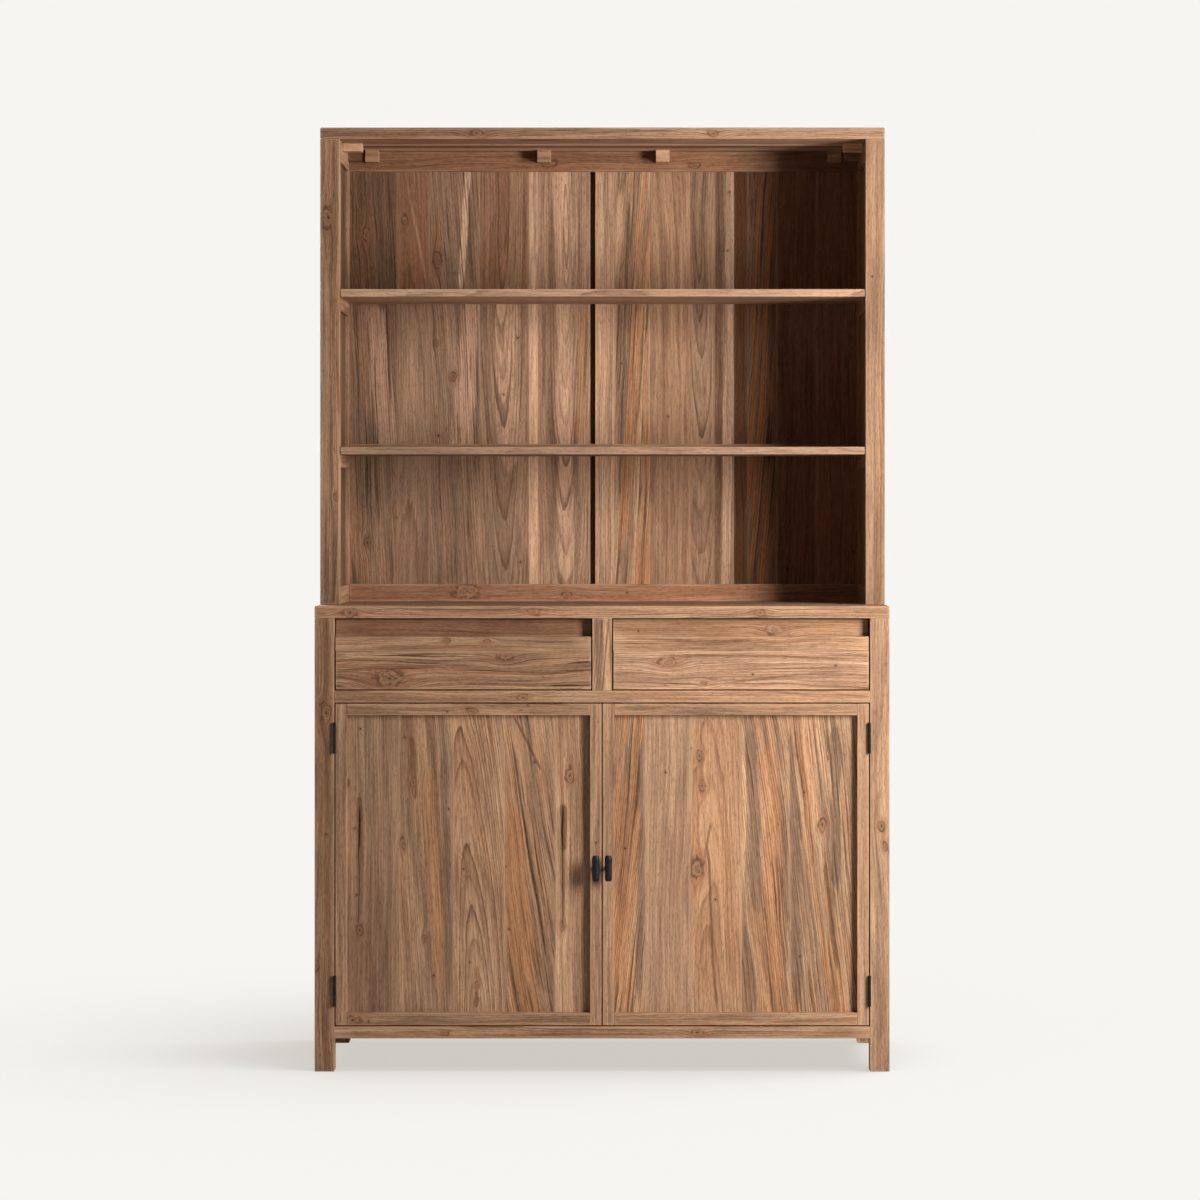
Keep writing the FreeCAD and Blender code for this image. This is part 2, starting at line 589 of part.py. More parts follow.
def drawer(side):
    """A drawer with a finger-pull front, dovetailed sides and a slipped-in bottom."""
    x = (-inner + DOOR_GAP, -DIVIDER_WIDTH / 2 - DOOR_GAP)
    z = (mid_rail[1] + DOOR_GAP, counter_under - DOOR_GAP)
    root, end = front + FRONT_THICK, front + DRAWER_END
    side_z = (z[0] + DRAWER_SIDE_LIFT, z[0] + DRAWER_SIDE_LIFT + DRAWER_SIDE_HEIGHT)
    side_spans = ((x[0], x[0] + DRAWER_SIDE), (x[1] - DRAWER_SIDE, x[1]))
    inside = grow(x, -DRAWER_SIDE)
    groove = DRAWER_SIDE / 2

    bottom_z = (side_z[0] + DRAWER_BOTTOM_LIFT, side_z[0] + DRAWER_BOTTOM_LIFT + DRAWER_BOTTOM)
    back_y = (end - DRAWER_TAIL_END - DRAWER_BACK, end - DRAWER_TAIL_END)
    bottom = block(grow(inside, groove), (root - groove, back_y[1]), bottom_z)
    back_board = block(grow(inside, HOUSING), back_y, (bottom_z[1], side_z[1] - DRAWER_BACK_DROP))
    tail_heights = [side_z[0] + TAIL_FIRST + number * TAIL_PITCH for number in range(TAILS)]

    sides, sockets = [], [bottom]
    for span in side_spans:
        tails = [dovetail(root, height, span, 0) for height in tail_heights]
        sockets += [dovetail(root, height, span, TAIL_ROOM) for height in tail_heights]
        sides.append(cut(fused([block(span, (root, end), side_z)] + tails), [bottom, back_board]))
    made = {
        "front": cut(drawer_front(x, z), sockets),
        "sides": group(sides),
        "back": back_board,
        "bottom": bottom,
    }
    for name, shape in made.items():
        nodes["drawer_" + side + "_" + name] = mirrored(shape) if side == "right" else shape


def fixed_hinge_parts():
    """Leaves let into the front legs, and the pins that stay with them."""
    leaves, pins = [], []
    for height in hinge_heights:
        leaves += pair(hinge_leaf((-inner - LEAF, -inner), height, 0, PIN_PRESS))
        pins += pair(hinge_pin(height))
    nodes["leg_hinge_leaves"] = group(leaves)
    nodes["hinge_pins"] = group(pins)


base_carcass()
base_fittings()
hutch()
door("left", LEFT_DOOR_JOINTS)
door("right", [-place for place in reversed(RIGHT_DOOR_JOINTS)])
drawer("left")
drawer("right")
fixed_hinge_parts()

os.makedirs("parts", exist_ok=True)
for node, solids in nodes.items():
    solids.exportStep("parts/" + node + ".step")
    print(node, len(solids.Solids), "solids", "valid" if solids.isValid() else "NOT VALID",
          round(solids.Volume / 1000, 1), "cm3")
print(len(nodes), "nodes; hinge axis at x", axis_x, "y", axis_y, "; front", front, "back", back)
print("hinges", hinge_heights, "doors", door_x, door_z, "shelves", lower_shelf, upper_shelf)
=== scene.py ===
import math
import random

import bmesh
import bpy
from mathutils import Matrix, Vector, noise


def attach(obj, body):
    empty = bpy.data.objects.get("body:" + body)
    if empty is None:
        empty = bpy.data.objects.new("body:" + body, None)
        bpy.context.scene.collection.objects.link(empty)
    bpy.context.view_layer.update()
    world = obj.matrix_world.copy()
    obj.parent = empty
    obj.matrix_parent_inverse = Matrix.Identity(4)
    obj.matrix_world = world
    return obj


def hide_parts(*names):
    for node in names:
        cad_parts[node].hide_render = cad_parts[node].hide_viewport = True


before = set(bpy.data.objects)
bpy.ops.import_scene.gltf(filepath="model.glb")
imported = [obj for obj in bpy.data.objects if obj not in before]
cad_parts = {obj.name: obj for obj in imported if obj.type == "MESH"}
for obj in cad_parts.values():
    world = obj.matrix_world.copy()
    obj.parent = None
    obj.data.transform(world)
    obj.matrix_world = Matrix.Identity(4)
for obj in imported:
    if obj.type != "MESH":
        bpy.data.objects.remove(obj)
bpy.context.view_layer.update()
scene = bpy.context.scene
mm = .001

# faces that many pieces share, in millimetres
cab = dict(
    front=-211.5, back=238.5, backFace=237.9, hutchFront=-71.5, half=600, inner=559, leg=41, railDeep=40,
    groove=4, backRail=(204.5, 238.5), backSkin=(214.5, 226.5), muntin=(226.5, 238.5), counter=(946, 971),
    top=(1961, 1985), midRail=(770, 795), lowRail=(69, 94), doorZ=(96.4, 767.6),
)
front, back, inner, groove = (cab[key] for key in ("front", "back", "inner", "groove"))
print("frame loaded:", len(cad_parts), "nodes")


class Wire:
    # a node's output that takes + - * / like a number
    def __init__(self, bench, socket):
        self.bench, self.socket = bench, socket

    def __add__(self, other):
        return self.bench.math("ADD", self, other)

    def __sub__(self, other):
        return self.bench.math("SUBTRACT", self, other)

    def __mul__(self, other):
        return self.bench.math("MULTIPLY", self, other)

    def __truediv__(self, other):
        return self.bench.math("DIVIDE", self, other)

    def __pow__(self, other):
        return self.bench.math("POWER", self, other)

    def __abs__(self):
        return self.bench.math("ABSOLUTE", self)


class NodeBench:
    def __init__(self, tree):
        self.tree = tree

    def put(self, kind, feeds=(), **settings):
        node = self.tree.nodes.new("ShaderNode" + kind)
        for key, value in settings.items():
            setattr(node, key, value)
        for key, value in dict(feeds).items():
            self.feed(node.inputs[key], value)
        return node

    def feed(self, socket, value):
        value = value.socket if isinstance(value, Wire) else value
        if isinstance(value, bpy.types.NodeSocket):
            self.tree.links.new(value, socket)
        else:
            socket.default_value = value

    def math(self, operation, first, second=0, clamp=False):
        node = self.put("Math", {0: first, 1: second}, operation=operation, use_clamp=clamp)
        return Wire(self, node.outputs[0])

    def vector(self, operation, first, second=(0, 0, 0)):
        node = self.put("VectorMath", {0: first, 1: second}, operation=operation)
        return Wire(self, node.outputs["Value" if operation in ("LENGTH", "DOT_PRODUCT") else "Vector"])

    def split(self, vector):
        return [Wire(self, part) for part in self.put("SeparateXYZ", {0: vector}).outputs]

    def join(self, x, y, z):
        return self.put("CombineXYZ", {0: x, 1: y, 2: z}).outputs[0]

    def noise(self, vector, stretch, detail=2, rough=.5):
        spot = self.vector("MULTIPLY", vector, stretch)
        node = self.put("TexNoise", {"Vector": spot, "Scale": 1, "Detail": detail, "Roughness": rough})
        return Wire(self, node.outputs[0])

    def step(self, value, low, high, toLow=0, toHigh=1):
        feeds = enumerate((value, low, high, toLow, toHigh))
        return Wire(self, self.put("MapRange", feeds, interpolation_type="SMOOTHSTEP").outputs[0])

    def mix(self, share, first, second, blend="MIX"):
        first, second = ((*tint, 1) if isinstance(tint, tuple) else tint for tint in (first, second))
        return self.put("Mix", {0: share, 6: first, 7: second}, data_type="RGBA", blend_type=blend).outputs[2]

    def seen(self):   # by the camera, in a gloss or through glass
        path = self.put("LightPath").outputs
        either = self.math("MAXIMUM", path["Is Camera Ray"], path["Is Glossy Ray"])
        return self.math("MAXIMUM", either, path["Is Transmission Ray"])


class Surface(NodeBench):
    def __init__(self, name):
        self.material = bpy.data.materials.new(name)
        self.material.use_nodes = True
        super().__init__(self.material.node_tree)
        self.shader = self.tree.nodes["Principled BSDF"].inputs

    def finish(self, colour, rough, height, strength, distance):
        bump = self.put("Bump", {"Strength": strength, "Distance": distance, "Height": height})
        self.feed(self.shader["Base Color"], colour)
        self.feed(self.shader["Roughness"], rough)
        self.feed(self.shader["Normal"], bump.outputs["Normal"])

    def edges(self, radius, low):   # 1 on a sharp edge, where a rounded normal leaves the true one
        soft = self.put("Bevel", {"Radius": radius}, samples=4).outputs[0]
        true = self.put("NewGeometry").outputs["Normal"]
        return self.step(self.vector("DOT_PRODUCT", soft, true), .995, low)


# teak: its colours, and what each board carries on its mesh
# rust, used only on the planks in the hutch's shaded right corner, is partly a real orange streak colour and
# partly painted warm shade
teakColours = dict(pale=(.475, .285, .172), brown=(.345, .19, .11), orange=(.46, .212, .098),
    ash=(.4, .262, .19), grey=(.215, .135, .088), red=(.28, .118, .062), late=(.135, .062, .032),
    black=(.045, .024, .014), knot=(.085, .042, .024), worn=(.52, .315, .19), honey=(.56, .345, .2),
    sap=(.68, .405, .262), chalk=(.9, .56, .37), rust=(.43, .165, .062), pit=(.022, .012, .007))
boardTraits = ["grain", "heart", "lean", "tone", "figure", "knotA", "knotB", "knotC", "crack"]
boardTraits += [part + letter for letter in "ABC" for part in ("stroke", "span", "tint")]


def teakFigure(colours):
    group = bpy.data.node_groups.new("teakFigure", "ShaderNodeTree")
    sockets = [(trait, "INPUT", "Vector") for trait in boardTraits] + [
        ("wear", "INPUT", "Float"), ("colour", "OUTPUT", "Color"), ("rough", "OUTPUT", "Float"),
        ("height", "OUTPUT", "Float")]
    for name, way, kind in sockets:
        group.interface.new_socket(name, in_out=way, socket_type="NodeSocket" + kind)
    bench = NodeBench(group)
    step, grained = bench.step, bench.noise
    given = group.nodes.new("NodeGroupInput").outputs
    result = group.nodes.new("NodeGroupOutput").inputs

    def coats(colour, *layers):
        for share, tint in layers:
            colour = bench.mix(share, colour, colours[tint] if isinstance(tint, str) else tint)
        return colour

    u, v, w = bench.split(given["grain"])
    heartAcross, heartDepth, ringWidth = bench.split(given["heart"])
    leanAcross, leanThrough, seed = bench.split(given["lean"])
    level, warm, grey = bench.split(given["tone"])
    contrast, streaks, red = bench.split(given["figure"])
    away = bench.join(seed * 1.7, seed * 3.1, seed)
    place = bench.vector("ADD", given["grain"], away)

    # distance from the heart of the log, which leans through the board and wanders
    wander = grained(place, (1.9, 5.5, 5.5)) - .5
    across = v + wander * .034 - heartAcross - leanAcross * u
    through = w - heartDepth - leanThrough * u
    nears, bulge = [], 0
    for letter in "ABC":   # the grain parts round a knot, which ends inside the board
        knotU, knotV, knotR = bench.split(given["knot" + letter])
        aside = v - knotV
        near = bench.vector("LENGTH", bench.join((u - knotU) * .55, aside, w)) / knotR
        swell = bench.math("EXPONENT", near * near * -.16)
        across = across - aside * (swell * .62)
        bulge = swell * (knotR * .9) + bulge
        nears.append(near)
    near = bench.math("MINIMUM", bench.math("MINIMUM", nears[0], nears[1]), nears[2])
    fine = bench.vector("ADD", bench.join(u, across, w), away)
    ring = bench.math("SQRT", across * across + through * through) + bulge
    for stretch, size in (((3.2, 26, 26), .0055), ((15, 95, 95), .0018)):
        ring = ring + (grained(place, stretch) - .5) * size

    phase = ring / ringWidth + 40
    season = bench.math("FRACT", phase)
    year = bench.math("FLOOR", phase) + seed * 13.7
    chance = bench.put("TexWhiteNoise", noise_dimensions="1D")
    bench.feed(chance.inputs["W"], year)
    chance = chance.outputs["Value"]
    late = step(season, .25, 1) ** 2.4 * step(chance, 1, 0, .35, 1)
    ringPlace = bench.join(ring + seed, u * .06, seed)
    band = grained(ringPlace, (44, 44, 7))
    line = grained(ringPlace, (210, 60, 7))
    light = grained(ringPlace, (66, 50, 9))
    blotch = grained(place, (2.2, 10, 10), 3)
    fibre = grained(fine, (9, 300, 300), 3, .6)
    fleck = grained(fine, (70, 400, 400), 2, .6)
    pore = grained(fine, (60, 900, 900), 1)

    # colour from the rings outwards
    colour = bench.mix(step(chance, 0, 1), colours["brown"], colours["pale"])
    colour = coats(
        colour, (step(blotch, .42, .62) * .55, "brown"), (step(band, .5, .59) * warm, "orange"),
        (step(band, .49, .39) * grey, "grey"), (step(light, .52, .63, 0, .45), "honey"),
        (step(light, .46, .36, 0, .4), "late"), (bench.math("MAXIMUM", red, 0), "red"),
        (bench.math("MAXIMUM", red * -1, 0), "ash"))
    torn = (grained(fine, (3, 170, 170)) - .5) * 1.7
    sway = (grained(place, (11, 3, 3)) - .5) * .009
    bowed = v + wander * .016 + sway * .6
    for letter in "ABC":   # single strokes along the grain: sapwood, orange or mineral colour, and on some boards broad washes of painted shade and painted light
        strokeV, strokeSlope, strokeHalf = bench.split(given["stroke" + letter])
        spanU, spanHalf, spanShare = bench.split(given["span" + letter])
        ahead = u - spanU
        off = abs(bowed - strokeV - strokeSlope * ahead)
        rag = torn * step(strokeHalf, .002, .016, .12, 1)
        reached = abs(ahead) / spanHalf
        slim = strokeHalf * step(reached, 1, .72, .06, 1)
        share = step(off / slim + rag, 1.2, .8) * step(reached, 1, .8) * spanShare
        colour = bench.mix(share, colour, given["tint" + letter])
    colour = coats(colour, (late * contrast, "late"), (step(line, .57, .66) * streaks, "black"))
    threads = step(fibre, .28, .72, .76, 1.22) * step(grained(place, (1.3, 3, 3)), .3, .7, .88, 1.12)
    colour = bench.mix(1, colour, bench.join(threads, threads, threads), "MULTIPLY")
    poreShare = step(pore, .58, .7) * step(season, .8, 0)
    colour = coats(colour, (step(fleck, .51, .66, 0, .36), "late"), (step(fleck, .47, .34, 0, .14), "worn"),
                   (poreShare * .5, "black"))

    # knots: small curls of their own rings in a browner field, dark only in places
    core = near + (grained(place, (70, 120, 120), 3) - .5) * 1.6
    curls = bench.mix(bench.math("FRACT", core * 1.9) ** 1.5, colours["brown"], colours["late"])
    rim = step(abs(core - 1.1), .34, .06, 0, .7) * step(grained(place, (45, 90, 90), 1), .38, .6)
    colour = coats(colour, (step(core, 2.8, .9, 0, .5), "red"), (step(core, 1.35, .95, 0, .85), curls),
                   (rim, "knot"), (step(core, .24, 0, 0, .85), "black"))

    # one drying crack a board, wider at its upper end, and a few old nail holes
    crackU, crackV, crackHalf = bench.split(given["crack"])
    run = (u - crackU) / crackHalf
    opened = bench.math("SUBTRACT", 1, abs(run) ** 4, clamp=True)
    gap = abs(v - crackV - sway)
    mouth = opened * step(run, 0, .8, .0003, .0022)
    crack = step(gap - mouth, .0012, -.0003) * step(opened, 0, .3, 0, .9)
    cells = bench.put("TexVoronoi", {"Vector": place, "Scale": 6}, voronoi_dimensions="2D").outputs
    nailed = bench.math("GREATER_THAN", bench.split(cells["Color"])[0], .55)
    nail = step(cells["Distance"], .0125, .0055) * nailed
    rust = step(cells["Distance"], .045, .01) * .35 * nailed
    halo = step(gap, .01, .001) * step(opened, 0, .6) * .4
    pit = bench.math("MAXIMUM", crack, nail)

    # handled edges: paler, in patches
    patches = step(grained(place, (9, 60, 60), 3), .3, .62)
    rubbed = bench.math("MULTIPLY", given["wear"], patches)
    colour = coats(colour, (rust, "late"), (halo, "late"), (pit, "pit"), (rubbed * .55, "worn"))
    bench.feed(result["colour"], bench.mix(1, colour, bench.join(level, level, level), "MULTIPLY"))
    bench.feed(result["rough"], step(fibre, .2, .8, .64, .48) + pit * .3 - rubbed * .08)
    bench.feed(result["height"], late * .35 + fibre * .5 - poreShare * .5 - pit * 2.5)
    return group


figureGroup = teakFigure(teakColours)
teak = dict(specular=.06, relief=.0006, bump=.55, innerBump=.5, innerEdge=.0016)


def woodSurface(name, bump):
    surface = Surface(name)
    surface.shader["Specular IOR Level"].default_value = teak["specular"]
    figure = surface.put("Group", node_tree=figureGroup)
    look = figure.outputs
    surface.finish(look["colour"], look["rough"], look["height"], bump, teak["relief"])
    return surface, figure.inputs


def boardTeak():
    surface, figure = woodSurface("teakOiled", teak["bump"])
    for trait in boardTraits:
        surface.feed(figure[trait], surface.put("Attribute", attribute_name=trait).outputs["Vector"])
    surface.feed(figure["wear"], surface.put("Attribute", attribute_name="wear").outputs["Fac"])
    return surface.material


def axesOf(grain, thin):
    return grain + "xyz".replace(grain, "").replace(thin, "") + thin   # along, across and through the board


def innerTeak(grain, thin, number):
    # for inner pieces that keep their own solid: figure from their place, wear on their edges
    surface, figure = woodSurface("teakInner" + grain.upper() + str(number), teak["innerBump"])
    parts = dict(zip("xyz", surface.split(surface.put("TexCoord").outputs["Object"])))
    surface.feed(figure["grain"], surface.join(*(parts[axis] for axis in axesOf(grain, thin))))
    values = dict(heart=(.31, .06, .0052), lean=(.012, .02, .73 * number), tone=(1.08, .18, .12),
                  figure=(.55, .06, 0), crack=(9, 9, .01))
    for letter in "ABC":   # none of these on the piece
        values["knot" + letter], values["stroke" + letter] = (9, 9, .001), (9, 0, .01)
        values["span" + letter] = (9, 1, 0)
    for trait, value in values.items():
        figure[trait].default_value = value
    surface.feed(figure["wear"], surface.edges(teak["innerEdge"], .9))
    return surface.material


teakOiled = boardTeak()
print("teak figure:", len(figureGroup.nodes), "nodes")

# boards: each look is this one with its own changes, in millimetres
# inside scales a board's level on its hidden face against its shown face, which paints shade onto one face of some
# boards; through fades its strokes the same way
plainBoard = dict(heart=None, lean=(0, 0), rings=4.5, level=1, warm=.25, grey=.25, contrast=.6, streaks=.12,
    red=0, knots=(), crack=None, strokes=(), inside=1, through=1)
noKnot, noCrack = (9000, 9000, 1), (9000, 9000, 10)   # these lie far off any board
noStroke = (8000, 9000, 10000, 9000, 20, "brown", 0)
boardShape = dict(ease=1.3, nick=1.9, step=46, support=5, margin=6, short=30)
count = dict(boards=0)


def camel(node):
    head, *rest = node.split("_")
    return head + "".join(word.capitalize() for word in rest)


def inMetres(spot):
    return tuple(number * mm for number in spot)


def tube(rows, size, start=0):
    # quads between rings of one size, capped at both ends
    faces = []
    for row in range(rows - 1):
        for k in range(size):
            a, b = start + row * size + k, start + row * size + (k + 1) % size
            faces.append((a, b, b + size, a + size))
    last = start + (rows - 1) * size
    return faces + [tuple(range(start, start + size))[::-1], tuple(range(last, last + size))]


def addPiece(name, mesh, material, body, slot, *nodes):
    mesh.materials.append(material)
    mesh.update()
    piece = bpy.data.objects.new(name, mesh)
    scene.collection.objects.link(piece)
    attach(piece, body)
    if nodes:
        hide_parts(*nodes)


class Piece:
    def __init__(self, node, name=None):
        self.node, self.name = node, name or camel(node)
        self.points, self.faces, self.wear = [], [], []
        self.traits = {trait: [] for trait in boardTraits}

    def traitsFrom(self, look, seed, wide):
        # what the teak figure reads from the mesh, in metres
        dice = random.Random(seed)
        heart, lean = look["heart"], look["lean"]
        if heart is None:
            side = dice.choice((-1, 1))
            edge = wide[0] if side < 0 else wide[1]
            heart = (edge + side * dice.uniform(60, 260), dice.uniform(5, 60))
        if lean == (0, 0):
            lean = (dice.uniform(-.012, .012), dice.uniform(-.03, .03))
        traits = dict(
            heart=inMetres((*heart, look["rings"])), lean=(*lean, seed * .377 % 7),
            tone=(look["level"], look["warm"], look["grey"]),
            figure=(look["contrast"], look["streaks"], look["red"]),
            crack=inMetres(look["crack"] or noCrack))
        knots = (*look["knots"], noKnot, noKnot, noKnot)
        strokes = (*look["strokes"], noStroke, noStroke, noStroke)
        for letter, knot, (u1, v1, u2, v2, width, colour, share) in zip("ABC", knots, strokes):
            traits["knot" + letter] = inMetres(knot)
            traits["stroke" + letter] = ((v1 + v2) / 2 * mm, (v2 - v1) / (u2 - u1), width / 2 * mm)
            traits["span" + letter] = ((u1 + u2) / 2 * mm, abs(u2 - u1) / 2 * mm, share)
            traits["tint" + letter] = teakColours[colour]
        return traits

    def add(self, points, faces, wear, fixed, **varied):
        start = len(self.points)
        self.points += points
        self.faces += [tuple(start + corner for corner in face) for face in faces]
        self.wear += wear
        for trait in boardTraits:
            self.traits[trait] += varied[trait] if trait in varied else [fixed[trait]] * len(points)

    def board(self, x, y, z, grain, thin, show="low", ease=boardShape["ease"], **changes):
        look = {**plainBoard, **changes}
        count["boards"] += 1
        seed = count["boards"]
        axes = axesOf(grain, thin)
        along, wide, deep = (dict(x=x, y=y, z=z)[axis] for axis in axes)
        fixed = self.traitsFrom(look, seed, wide)
        length, margin = along[1] - along[0], boardShape["margin"]
        ends = min(ease * .8, length * .2)
        stations = [(along[0], ends), (along[0] + ends, 0)]
        if length > boardShape["short"]:
            inside = length - 2 * margin
            spaces = max(1, round(inside / boardShape["step"]))
            stations += [(along[0] + margin + n * inside / spaces, None) for n in range(spaces)]
            stations.append((along[1] - margin, None))
        stations += [(along[1] - ends, 0), (along[1], ends)]
        points, wear, grains, tones = [], [], [], []
        runs = {"span" + letter: [] for letter in "ABC"}
        for at, inset in stations:
            ring = self.section(wide, deep, at, ease, inset, seed)
            for a, t, worn in ring:
                spot = dict(zip(axes, (at, a, t)))
                points.append(inMetres(spot[axis] for axis in "xyz"))
                wear.append(worn)
                inward = t - deep[0] if show == "low" else deep[1] - t
                grains.append(inMetres((at, a, inward)))
                hidden = inward / (deep[1] - deep[0])   # 0 on the shown face, 1 on the hidden one
                # where inside is not 1 this paints shade onto the face that stands in shade
                tones.append((look["level"] * (1 + (look["inside"] - 1) * hidden), look["warm"], look["grey"]))
                for trait, run in runs.items():
                    middle, reach, share = fixed[trait]
                    run.append((middle, reach, share * (1 + (look["through"] - 1) * hidden)))
        faces = tube(len(stations), len(ring))
        if axes not in "xyzxy":   # a left-handed order of axes
            faces = [face[::-1] for face in faces]
        self.add(points, faces, wear, fixed, grain=grains, tone=tones, **runs)
        return self

    def section(self, wide, deep, at, ease, inset, seed):
        # one slice across the grain: worn corners, with flat faces between
        shrink = inset or 0
        low, high = (wide[0] + shrink, deep[0] + shrink), (wide[1] - shrink, deep[1] - shrink)
        room = min(high[0] - low[0], high[1] - low[1])
        ring, full = [], []
        corners = ((low[0], low[1], 1, 1, 180), (high[0], low[1], -1, 1, 270),
                   (high[0], high[1], -1, -1, 0), (low[0], high[1], 1, -1, 90))
        for number, (a, t, sa, st, turn) in enumerate(corners):
            rub = noise.noise(Vector((at * .011, number * 7.3, seed * 3.7)))
            nick = noise.noise(Vector((at * .043, number * 5.1, seed * 1.9 + 40)))
            radius = ease * (.85 + .5 * rub) + boardShape["nick"] * max(0, nick - .34)
            radius = max(.3, min(radius - .5 * shrink, room * .3))
            for turnBy in (0, 45, 90):
                angle = math.radians(turn + turnBy)
                ring.append((a + sa * radius + radius * math.cos(angle),
                             t + st * radius + radius * math.sin(angle), 1))
        flatWear = 0 if inset is None else (1 if inset == 0 else .6)
        for number in range(0, 12, 3):
            full += ring[number:number + 3]
            one, two = ring[number + 2], ring[(number + 3) % 12]
            length = math.hypot(two[0] - one[0], two[1] - one[1])
            share = min(boardShape["support"] / length, .3) if length > 0 else .3
            for part in (share, 1 - share):
                full.append((one[0] + part * (two[0] - one[0]), one[1] + part * (two[1] - one[1]), flatWear))
        return full

    def profile(self, outline, x, look, show):
        # a moulding run along x: outline of (y, z, wear), counter-clockwise seen from +x
        look = {**plainBoard, **look}
        count["boards"] += 1
        heights = [spot[1] for spot in outline]
        fixed = self.traitsFrom(look, count["boards"], (min(heights), max(heights)))
        spaces = max(1, round((x[1] - x[0]) / boardShape["step"]))
        points, wear, grains = [], [], []
        for row in range(spaces + 1):
            at = x[0] + row * (x[1] - x[0]) / spaces
            for y, z, worn in outline:
                points.append(inMetres((at, y, z)))
                wear.append(1 if row in (0, spaces) else worn)
                grains.append(inMetres((at, z, y - show)))
        self.add(points, tube(spaces + 1, len(outline)), wear, fixed, grain=grains)

    def place(self, slot, body="carcass"):
        mesh = bpy.data.meshes.new(self.name)
        mesh.from_pydata(self.points, [], self.faces)
        mesh.validate()
        for trait, values in self.traits.items():
            layer = mesh.attributes.new(trait, "FLOAT_VECTOR", "POINT")
            layer.data.foreach_set("vector", [number for spot in values for number in spot])
        mesh.attributes.new("wear", "FLOAT", "POINT").data.foreach_set("value", self.wear)
        addPiece(self.name, mesh, teakOiled, body, slot, self.node)


def mirror(span):
    return (-span[1], -span[0])


def shares(span, cuts):
    return [span[0] + cut * (span[1] - span[0]) for cut in cuts]


def joined(span, cuts):
    stops = [span[0], *cuts, span[1]]
    return list(zip(stops[:-1], stops[1:]))


def cornerPosts(looks, face, z):
    for node, look in looks.items():
        x = (-cab["half"], -inner) if "left" in node else (inner, cab["half"])
        rear = "rear" in node
        y = (back - cab["leg"], cab["backFace"]) if rear else (face, face + cab["leg"])
        Piece(node).board(x, y, z, "z", "y", "high" if rear else "low", **look).place("teak_frame")


def slab(node, data, face, end, z, **shape):
    # boards from front to back, the first with its figure on its front edge
    piece = Piece(node)
    for span, look in zip(joined((face, end), shares((face, back), data["cuts"])), data["boards"]):
        turned = ("y", "low") if span[0] == face else ("z", "high")
        piece.board((-cab["half"], cab["half"]), span, z, "x", *turned, **shape, **look)
    piece.place("teak_planks")


# base: legs and counter
legs = dict(
    leg_front_left=dict(level=.89, warm=.2, grey=.3, rings=3.6, red=.12, contrast=.85, streaks=.3,
        knots=((748, -577, 11), (222, -597, 7))),
    leg_front_right=dict(level=.95, warm=.15, grey=.2, rings=3, red=-.15, knots=((512, 583, 6), (470, 590, 5)),
        contrast=.45),
    leg_rear_left=dict(level=.96, warm=.3, knots=((560, -588, 7),)),
    leg_rear_right=dict(grey=.4),
)
cornerPosts(legs, front, (0, cab["counter"][0]))
counter = dict(
    cuts=(.24, .51, .75),
    boards=(
        dict(level=1.12, warm=.2, grey=.4, rings=4.2, red=-.1, streaks=.5,
            knots=((-526, 958, 9), (330, 957, 6), (-142, 959, 7)), contrast=.95,
            # the broad honey wash on the right half and red wash on the left half of the front edge paint more of
            # the light's fall from the right: painted light on the right, painted shade on the left
            strokes=((-20, 958, 700, 958, 120, "honey", .3), (-420, 966, -40, 964, 4, "late", .6),
                     (-900, 958, 20, 958, 120, "red", .28))),
        dict(heart=(-45, 22), lean=(.01, .035), rings=5.5, warm=.35, knots=((310, -20, 11),)),
        dict(level=.94, grey=.4, warm=.1, rings=3.4),
        dict(level=1.03, warm=.45, heart=(190, 30), lean=(-.02, .03), crack=(-380, 175, 110)),
    ),
)
slab("counter_top", counter, front, cab["backFace"], cab["counter"])

# front rails and the stile between the drawers
frontRails = dict(
    front_middle_rail=dict(z=cab["midRail"], level=1.04, warm=.25, grey=.15, rings=3.4, knots=((-165, 781, 6),),
        contrast=.7, streaks=.25),
    front_bottom_rail=dict(
        z=cab["lowRail"],
        rebate=dict(wide=12, deep=14, lip=.6), level=1.08, warm=.2, grey=.3, rings=4,
        knots=((198, 82, 6), (-330, 80, 5)), streaks=.5, contrast=.95,
    ),
)
for node, look in frontRails.items():
    look = dict(look)
    z, rebate = look.pop("z"), look.pop("rebate", None)
    far = front + cab["railDeep"]
    piece = Piece(node)
    if rebate:   # cut away at its rear top, where the bottom board lies in it
        e, m = boardShape["ease"], boardShape["margin"]
        inset, low, lip = far - rebate["wide"], z[1] - rebate["deep"], rebate["lip"]
        outline = [(front + e, z[0], 1), (front + m, z[0], 0), (far - e, z[0], .4), (far, z[0] + e, .4),
                   (far, low, .2), (inset, low, 0), (inset, z[1] - lip, .4), (inset - lip, z[1], .6),
                   (front + m, z[1], 0), (front + e, z[1], 1), (front + .3 * e, z[1] - .3 * e, 1),
                   (front, z[1] - e, 1), (front, z[1] - m, 0), (front, z[0] + m, 0), (front, z[0] + e, 1),
                   (front + .3 * e, z[0] + .3 * e, 1)]
        piece.profile(outline, (-inner, inner), look, front)
    else:
        piece.board((-inner, inner), (front, far), z, "x", "y", **look)
    piece.place("teak_frame")

stile = dict(
    x=(-20.5, 20.5), deep=30,
    look=dict(heart=(-70, 12), lean=(.1, 0), rings=5.5, streaks=.5, grey=.4, warm=.3, level=1.05, contrast=.9,
        strokes=((990, -14, 740, -6, 9, "grey", .85), (990, 6, 740, 13, 12, "honey", .7))),
)
Piece("drawer_divider").board(stile["x"], (front, front + stile["deep"]), (cab["midRail"][1], cab["counter"][0]),
                              "z", "y", **stile["look"]).place("teak_frame")

